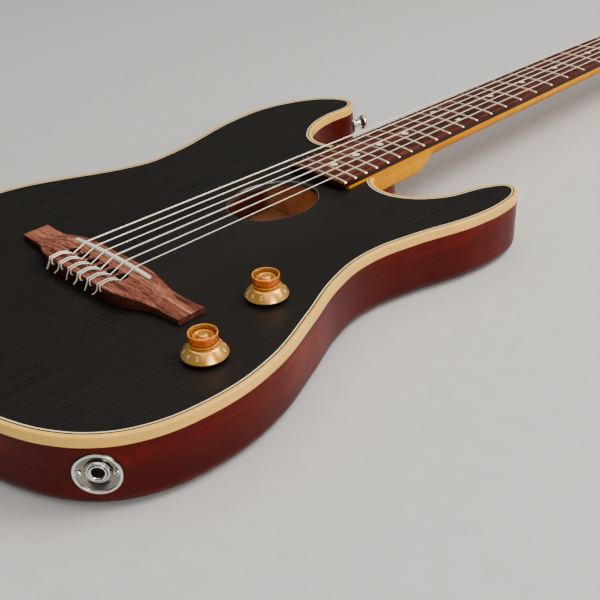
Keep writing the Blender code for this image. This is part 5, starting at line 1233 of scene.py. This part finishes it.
def string_line(number):
    """One unbroken route: tail, knot, tie hole, saddle, nut, and the turns round the post."""
    x = string_x(number, STRING_SPREAD)
    radius = string_radius(number)
    points = smooth([(x + dx, y, TOP + z) for dx, y, z in tie_route(number)], False, 0.0005)
    points.append(Vector((x, WELL[0] - WELL[2] - 0.0006, TOP + TIE_HOLE_HEIGHT)))
    saddle = saddle_point(number)
    points.append(saddle - Vector((0.0, 0.0012, 0.0001)))
    points.append(saddle + Vector((0.0, 0.0006, 0.0)))
    nut = nut_point(number)
    along = (nut - saddle).normalized()
    points += [nut, nut + along * (NUT_WIDTH + 2.0 * FIT)]
    axis = post_axis(number).translation
    side = head_side(number)
    reach = POST_WAIST + FIT + radius
    for k in range(int(COIL_TURNS * COIL_POINTS) + 1):
        share = k / COIL_POINTS
        angle = (math.pi if side > 0.0 else 0.0) - side * 2.0 * math.pi * share
        points.append(Vector((axis.x + reach * math.cos(angle), axis.y + reach * math.sin(angle),
                              HEAD_FACE + COIL_HEIGHT + (2.0 * radius + COIL_GAP) * share)))
    return points


def make_strings():
    for number in STRINGS:
        strand = tube(string_line(number), string_radius(number))
        look = "nylon" if number <= 3 else "wound"
        piece("string_strand_%d" % number, [strand], look, ["string_%d" % number], 60.0)


# Knobs

def ribbed(radius, low, high, count, depth, edge=0.0004):
    """A short column with fine upright ribs."""
    rings = []
    for z, inset in ((low, 0.0), (high - edge, 0.0), (high, edge)):
        ring = []
        for k in range(4 * count):
            angle = 2.0 * math.pi * k / (4 * count)
            r = radius - inset - (depth if k % 4 in (2, 3) else 0.0)
            ring.append((r * math.cos(angle), r * math.sin(angle), z))
        rings.append(ring)
    return loft(rings)


def bead(radius, height):
    """A thin round ring."""
    turns = [math.radians(45.0 * k) for k in range(8)]
    return turned([(radius + BEAD_RADIUS * math.cos(a), height + BEAD_RADIUS * math.sin(a)) for a in turns])


def make_knobs():
    """Each knob is a clear amber wall round a gold, ribbed inner face, over a gold skirt with digits, with
    two thin rings as painted highlights.
    """
    skirt = [(0.0, 0.0048), (0.0076, 0.0048), (0.0119, 0.0002), (KNOB_RADIUS - 0.0004, 0.0),
             (KNOB_RADIUS - 0.00002, 0.0008), (KNOB_LIP, KNOB_SKIRT - 0.0004),
             (KNOB_RIM - 0.0003, KNOB_SKIRT), (0.0, KNOB_SKIRT)]
    ring = turned(washer(0.0046, 0.0058, 0.0108, 0.0116), soft=0.0005)
    boss = turned(column(0.0104, (0.0028, 0.0124)), soft=0.0008, steps=4)
    disc = turned(column(0.0088, (0.0070, 0.0094)), soft=0.0003)
    band = turned(column(KNOB_SKIRT - 0.0002, (KNOB_RIM - 0.0005, KNOB_BAND_TOP)), soft=0.0003)
    # The beads are painted highlights: thin bright amber rings at the band's top and the rim.
    beads = [bead(KNOB_RIM - 0.0003, KNOB_BAND_TOP + 0.0002), bead(KNOB_RIM - 0.0004, KNOB_HEIGHT - 0.0003)]
    shell = turned(washer(*KNOB_WALL, KNOB_WALL_LOW, KNOB_HEIGHT - 0.0006), soft=0.0002)
    parts = [
        ("skirt", [turned(skirt, soft=0.0004), ring, boss], "gold", 50.0),
        ("drum", [disc, ribbed(0.0058, 0.0090, 0.0111, KNOB_RIBS, 0.0004)], "deep_gold", 50.0),
        ("band", [band], "amber_neck", 60.0),
        ("edges", beads, "amber_painted_highlight", 80.0),
        ("shell", [shell], "amber", 60.0),
    ]
    for node in KNOB_NODES:
        low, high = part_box(node)
        foot = at(0.5 * (low.x + high.x), 0.5 * (low.y + high.y), low.z)
        for part, bodies, look, sharp in parts:
            piece("%s_%s" % (node, part), bodies, look, [node] if part == "skirt" else [], sharp, foot, node)
        make_digits(node, foot)


def make_digits(node, foot):
    """The numbers from 0 to 10 round the skirt, each a thin raised stroke wrapped round the cone."""
    slope = Vector((KNOB_LIP - KNOB_RADIUS, 0.0, KNOB_SKIRT - 0.0010)).normalized()
    out = Vector((slope.z, 0.0, -slope.x))
    middle = Vector((0.5 * (KNOB_LIP + KNOB_RADIUS), 0.0, 0.5 * (KNOB_SKIRT + 0.0006)))
    bm = bmesh.new()
    for value in range(11):
        text = bpy.data.curves.new("digit", "FONT")
        text.body = str(value)
        text.align_x = "CENTER"
        text.align_y = "CENTER"
        text.size = DIGIT_SIZE
        text.extrude = DIGIT_RISE
        obj = add("digit", text)
        mesh = shaped(obj)
        bpy.data.objects.remove(obj, do_unlink=True)
        for vertex in mesh.vertices:
            across, up, proud = vertex.co
            angle = math.radians(DIGIT_TURN * value + DIGIT_START) + across / middle.x
            local = middle + slope * up + out * (proud + 0.00003)
            vertex.co = foot @ Matrix.Rotation(angle, 4, "Z") @ local
        bm.from_mesh(mesh)
    mesh = bpy.data.meshes.new(node + "_digits")
    bm.to_mesh(mesh)
    bm.free()
    mesh.materials.append(LOOKS["digit"])
    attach(add(node + "_digits", mesh), node)


# Metalwork

def make_jack():
    floor = -CUP_DEPTH
    sheet = CUP_SHEET
    back = floor - 0.0263
    front = floor + 0.0030
    cup = [(CUP_HOLE, floor), (CUP_WELL, floor), (CUP_WELL, -CUP_SEAT), (CUP_RADIUS - sheet, -CUP_SEAT),
           (CUP_RADIUS, -CUP_SEAT + sheet), (CUP_RADIUS, -0.0002), (CUP_RADIUS - 0.0014, -0.0002),
           (CUP_RADIUS - 0.0040, -0.0013), (CUP_WELL - 0.0006, floor + sheet), (CUP_HOLE, floor + sheet)]
    piece("jack_dish", [turned(cup, 128, 0.0004, 5)], "bowl", ["jack_cup"], 60.0, JACK)
    rim = washer(CUP_RADIUS - 0.0015, CUP_RADIUS, -0.0004, 0.0008)
    piece("jack_rim", [turned(rim, 128, 0.0006, 5)], "chrome", (), 60.0, JACK)
    level = UP.cross(JACK.to_3x3() @ UP)
    spots = [Matrix.Translation(level * CUP_SCREW_OFFSET * side) @ JACK for side in (-1.0, 1.0)]
    radius, crown = CUP_SCREW
    dome = turned([(0.0, -0.0007), (radius, -0.0007), (radius, -0.00026), (0.6 * radius, crown),
                   (0.0, crown)], 32, 0.0002)
    heads = piece("jack_screws", [place(dome, spot) for spot in spots], "chrome", (), 40.0)
    # The cross drives get near-black walls as painted shade.
    cut(heads, [[place(cross_drive(radius, crown), spot)] for spot in spots], "shade_black", 40.0)
    sleeve = [(JACK_HOLE, back), (0.0070, back), (0.0070, floor - FIT), (0.0046, floor - FIT),
              (0.0046, front), (0.0040, front + 0.00001), (JACK_HOLE, front - 0.0006)]
    piece("jack_sleeve", [turned(sleeve, 64, 0.0003)], "chrome", ["jack_socket"], 60.0, JACK)
    nut = [(CUP_HOLE, floor + 0.0011), (0.0066, floor + 0.0011), (0.0066, floor + 0.0015),
           (0.0057, floor + 0.0028), (CUP_HOLE, floor + 0.0024)]
    piece("jack_ring", [turned(nut, 96, 0.0004, 5)], "chrome", ["jack_nut"], 60.0, JACK)
    # A near-black plug in the jack's bore: painted shade in the hole.
    piece("jack_bore_plug_shade", [cylinder(JACK_HOLE, back + 0.001, floor - 0.004)], "shade_black", spot=JACK)


def cross_drive(radius, high):
    """The cross recess of a screw head, as one body."""
    arm = 0.62 * radius
    half = 0.16 * radius
    outline = [(half, -arm), (half, -half), (arm, -half), (arm, half), (half, half), (half, arm),
               (-half, arm), (-half, half), (-arm, half), (-arm, -half), (-half, -half), (-half, -arm)]
    return loft([[(0.5 * x, 0.5 * y, high - 0.0007) for x, y in outline],
                 [(x, y, high + 0.0004) for x, y in outline]])


def make_straps():
    low = -STRAP_SEAT_DEPTH + FIT
    base = low + FELT + 0.0001
    tip = base + STRAP_LENGTH
    felt = turned(washer(STRAP_BORE, STRAP_SEAT, low, low + FELT), 64, 0.0004)
    button = turned([
        (0.0, -0.0210), (0.0016, -0.0190), (0.0016, base), (STRAP_RADIUS - 0.0012, base),
        (STRAP_RADIUS - 0.0010, base + 0.0016), (STRAP_WAIST, base + 0.0044),
        (STRAP_WAIST, base + 0.62 * STRAP_LENGTH), (STRAP_RADIUS, base + 0.84 * STRAP_LENGTH),
        (STRAP_RADIUS - 0.0005, tip), (0.5 * STRAP_RADIUS, tip), (0.3 * STRAP_RADIUS, tip - STRAP_RECESS),
        (0.0, tip - STRAP_RECESS)], 96, 0.0010, 4)
    for key, spot in STRAPS.items():
        piece("felt_washer_%s" % key, [felt], "felt", ["strap_felt_%s" % key], 60.0, spot)
        pin = piece("strap_pin_%s" % key, [button], "chrome", ["strap_button_%s" % key], 60.0, spot)
        # The cross drive's walls are painted shade.
        cut(pin, [[cross_drive(0.0020, tip - STRAP_RECESS)]], "shade_black", 60.0, spot)


def make_neck_screws():
    """Domed cross screws in turned ferrules, seen from the back."""
    face = COVER_LEVELS[0]
    ring = turned([(SCREW_RADIUS, -FERRULE_DEPTH), (FERRULE_RADIUS, -FERRULE_DEPTH),
                   (FERRULE_RADIUS, -face), (0.0050, -face), (0.0045, -0.0010), (SCREW_RADIUS, -0.0010)],
                  64, 0.0003)
    shank = turned([(0.0, -NECK_SCREW_LENGTH), (SCREW_RADIUS, -NECK_SCREW_LENGTH + 0.0020),
                    (SCREW_RADIUS, -0.0010), (0.0043, -0.0009), (0.0043, -0.0006), (0.0025, -0.00005),
                    (0.0, -0.00002)], 48)
    for number, (x, y) in enumerate(sorted(NECK_SCREWS), 1):
        flip = at(x, y) @ OVER
        bolt = piece("neck_bolt_%d" % number, [ring, shank], "chrome", ["neck_screw_%d" % number], 50.0, flip)
        # The cross drive's walls are painted shade.
        cut(bolt, [[cross_drive(0.0034, -0.00002)]], "shade_black", 50.0, flip)


def make_cover():
    low, high = COVER_LEVELS
    rings = [[(p.x, p.y, z) for p in cavity_outline(COVER_MARGIN - inset)]
             for z, inset in ((low, COVER_BEVEL), (low + 0.0003, 0.0), (high, 0.0))]
    cover = piece("cover_plate", [loft(rings)], "cover", ["control_cover"])
    spots = []
    ways = corner_ways(CONTROL_CAVITY)
    for here, back, ahead in (ways[i] for i in COVER_SCREW_CORNERS):
        reach = CONTROL_CORNER / math.sin(back.angle(ahead) / 2.0) - CONTROL_CORNER - 0.5 * COVER_MARGIN
        spot = here + (back + ahead).normalized() * reach
        spots.append(at(spot.x, spot.y) @ OVER)
    cut(cover, [[place(cylinder(COVER_SCREW_BORE, -0.004, 0.001), spot) for spot in spots]], "cover")
    screw = turned([(0.0, -0.0090), (0.0014, -0.0080), (0.0014, -0.0012), (0.0024, -0.0008),
                    (0.0024, -0.0005), (0.0014, -0.0001), (0.0, -0.00005)], 32)
    heads = piece("cover_screws", [place(screw, spot) for spot in spots], "steel", (), 40.0)
    # The cross drives' walls are painted shade.
    cut(heads, [[place(cross_drive(0.0018, -0.00005), spot) for spot in spots]], "shade_black", 40.0)


# Tuners

def make_tuners():
    waist_low = HEAD_FACE + COIL_HEIGHT - 0.0016
    hole = HEAD_FACE + POST_HOLE
    low = HEAD_BACK - 0.0100
    top = HEAD_FACE + POST_HEIGHT
    post = turned([(0.0, low), (POST_RADIUS, low), (POST_RADIUS, waist_low - 0.0008),
                   (POST_WAIST, waist_low), (POST_WAIST, hole + 0.0012), (POST_RADIUS, hole + 0.0022),
                   (POST_RADIUS, top), (0.0, top)], 48, 0.0006, 4)
    for number in STRINGS:
        spot = post_axis(number)
        node = "tuner_post_%d" % number
        pin = piece("string_post_%d" % number, [post], "chrome", [node], 60.0, spot, node)
        bore = facing(spot.translation + UP * hole, (0.0, 1.0, 0.0))
        # The string hole's walls are painted shade.
        cut(pin, [[cylinder(0.0009, -0.006, 0.006, 24)]], "shade_black", 60.0, bore)
        make_case(number, spot, head_side(number))
        make_button(number, spot, head_side(number))


def make_case(number, spot, side):
    """A cast case with soft edges under the head, and its washer and hexagonal bushing on the face."""
    high = HEAD_BACK - FIT
    low = high - CASE_HEIGHT
    rings = []
    for z, inset in ((low, 0.0020), (low + 0.0006, 0.0008), (low + 0.0020, 0.0), (high, 0.0)):
        corners = [(x - math.copysign(inset, x), y - math.copysign(inset, y)) for x, y in CASE_CORNERS]
        rings.append([(side * p.x, p.y, z) for p in rounded(corners, CASE_CORNER)])
    case = piece("tuner_body_%d" % number, [loft(rings)], "chrome", ["tuner_case_%d" % number], 45.0, spot)
    worm = facing(spot.translation + Vector((side * 0.0025, -WORM_OFFSET, WORM_Z)), (side, 0.0, 0.0))
    # The bushing bore and worm bore get painted shade on their walls.
    cut(case, [[place(cylinder(BUSHING_BORE, HEAD_BACK - 0.0106, high + PAST), spot)],
               [place(cylinder(0.0026, 0.0, 0.012), worm)]], "shade_black", 45.0)
    face = HEAD_FACE + FIT
    nut_low = face + 0.0008
    disc = turned(washer(BUSHING_BORE, 0.0072, face, nut_low), 64, 0.0003)
    sleeve = turned(washer(BUSHING_BORE, 0.0049, HEAD_BACK, face), 48)
    nut = turned([(BUSHING_BORE, nut_low), (0.0062, nut_low), (0.0062, nut_low + 0.0014),
                  (0.0055, nut_low + 0.0020), (BUSHING_BORE, nut_low + 0.0020)], 6, 0.0002)
    piece("tuner_bushing_%d" % number, [disc, sleeve, nut], "chrome", spot=spot)


def make_button(number, spot, side, steps=6):
    """A waisted button with soft edges on its turned shaft."""
    line = smooth(BUTTON_HALF + [(x, -y) for x, y in reversed(BUTTON_HALF)], True, 0.0006)
    rings = []
    for k in range(steps + 1):
        angle = math.pi * k / steps
        inset = BUTTON_EDGE * (1.0 - math.sin(angle) ** 0.5)
        ring = []
        for out in (p - BUTTON_CENTRE for p in line):
            edge = BUTTON_CENTRE + out * (1.0 - inset / out.length)
            ring.append((edge.x, edge.y, -0.5 * BUTTON_THICKNESS * math.cos(angle)))
        rings.append(ring)
    start = spot @ at(0.0, -WORM_OFFSET, WORM_Z) @ Matrix.Rotation(0.0 if side > 0.0 else math.pi, 4, "Z")
    node = "tuner_button_%d" % number
    grip_spot = start @ at(BUTTON_START - POST_X, 0.0)
    piece("tuner_grip_%d" % number, [loft(rings)], "button", [node], 60.0, grip_spot, node)
    shaft = turned([(0.0, SHAFT_INNER), (0.0023, SHAFT_INNER), (0.0023, 0.0155), (0.0032, 0.0165),
                    (0.0032, 0.0205), (0.0023, 0.0213), (0.0, 0.0240)], 48, 0.0003)
    shaft_spot = start @ Matrix.Rotation(math.pi / 2.0, 4, "Y")
    piece("tuner_shaft_%d" % number, [shaft], "chrome", (), 60.0, shaft_spot, node)


# Inner nodes, stage, lights and camera

def dress_inner_nodes():
    for node, look in INNER_LOOKS.items():
        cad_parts[node].data.materials[0] = LOOKS[look]


def make_stage():
    add("floor", mesh_of("floor", [block(*FLOOR)], "floor"))


def make_lights():
    world = bpy.data.worlds.new("studio")
    world.use_nodes = True
    background = world.node_tree.nodes["Background"]
    background.inputs["Color"].default_value = WORLD_TONE
    background.inputs["Strength"].default_value = WORLD_STRENGTH
    bpy.context.scene.world = world
    for name, source, aim, size, watts, tone in LIGHTS:
        light = bpy.data.lights.new(name, "AREA")
        light.shape = "RECTANGLE"
        light.size, light.size_y = size
        light.energy = watts
        light.color = tone
        add(name, light).matrix_world = facing(source, Vector(source) - Vector(aim))


def make_camera():
    lens = bpy.data.cameras.new("camera")
    lens.lens = CAMERA_LENS
    lens.shift_x, lens.shift_y = CAMERA_SHIFT
    lens.clip_start = 0.01
    camera = add("camera", lens)
    camera.location = CAMERA_PLACE
    camera.rotation_euler = [math.radians(a) for a in CAMERA_TURN]
    bpy.context.scene.camera = camera


LOOKS = make_looks()
BODY = BodyEdge()
JACK = side_frame("jack_nut", JACK_HEIGHT, JACK_FACING)
STRAPS = {key: side_frame("strap_felt_%s" % key, STRAP_HEIGHT, angle)
          for key, angle in STRAP_FACING.items()}

for make in (make_camera, make_stage, make_lights, make_body, make_top, make_trim, make_neck, make_board,
             make_nut, make_bridge, make_saddle, make_strings, make_knobs, make_jack, make_straps,
             make_neck_screws, make_cover, make_tuners, dress_inner_nodes):
    make()
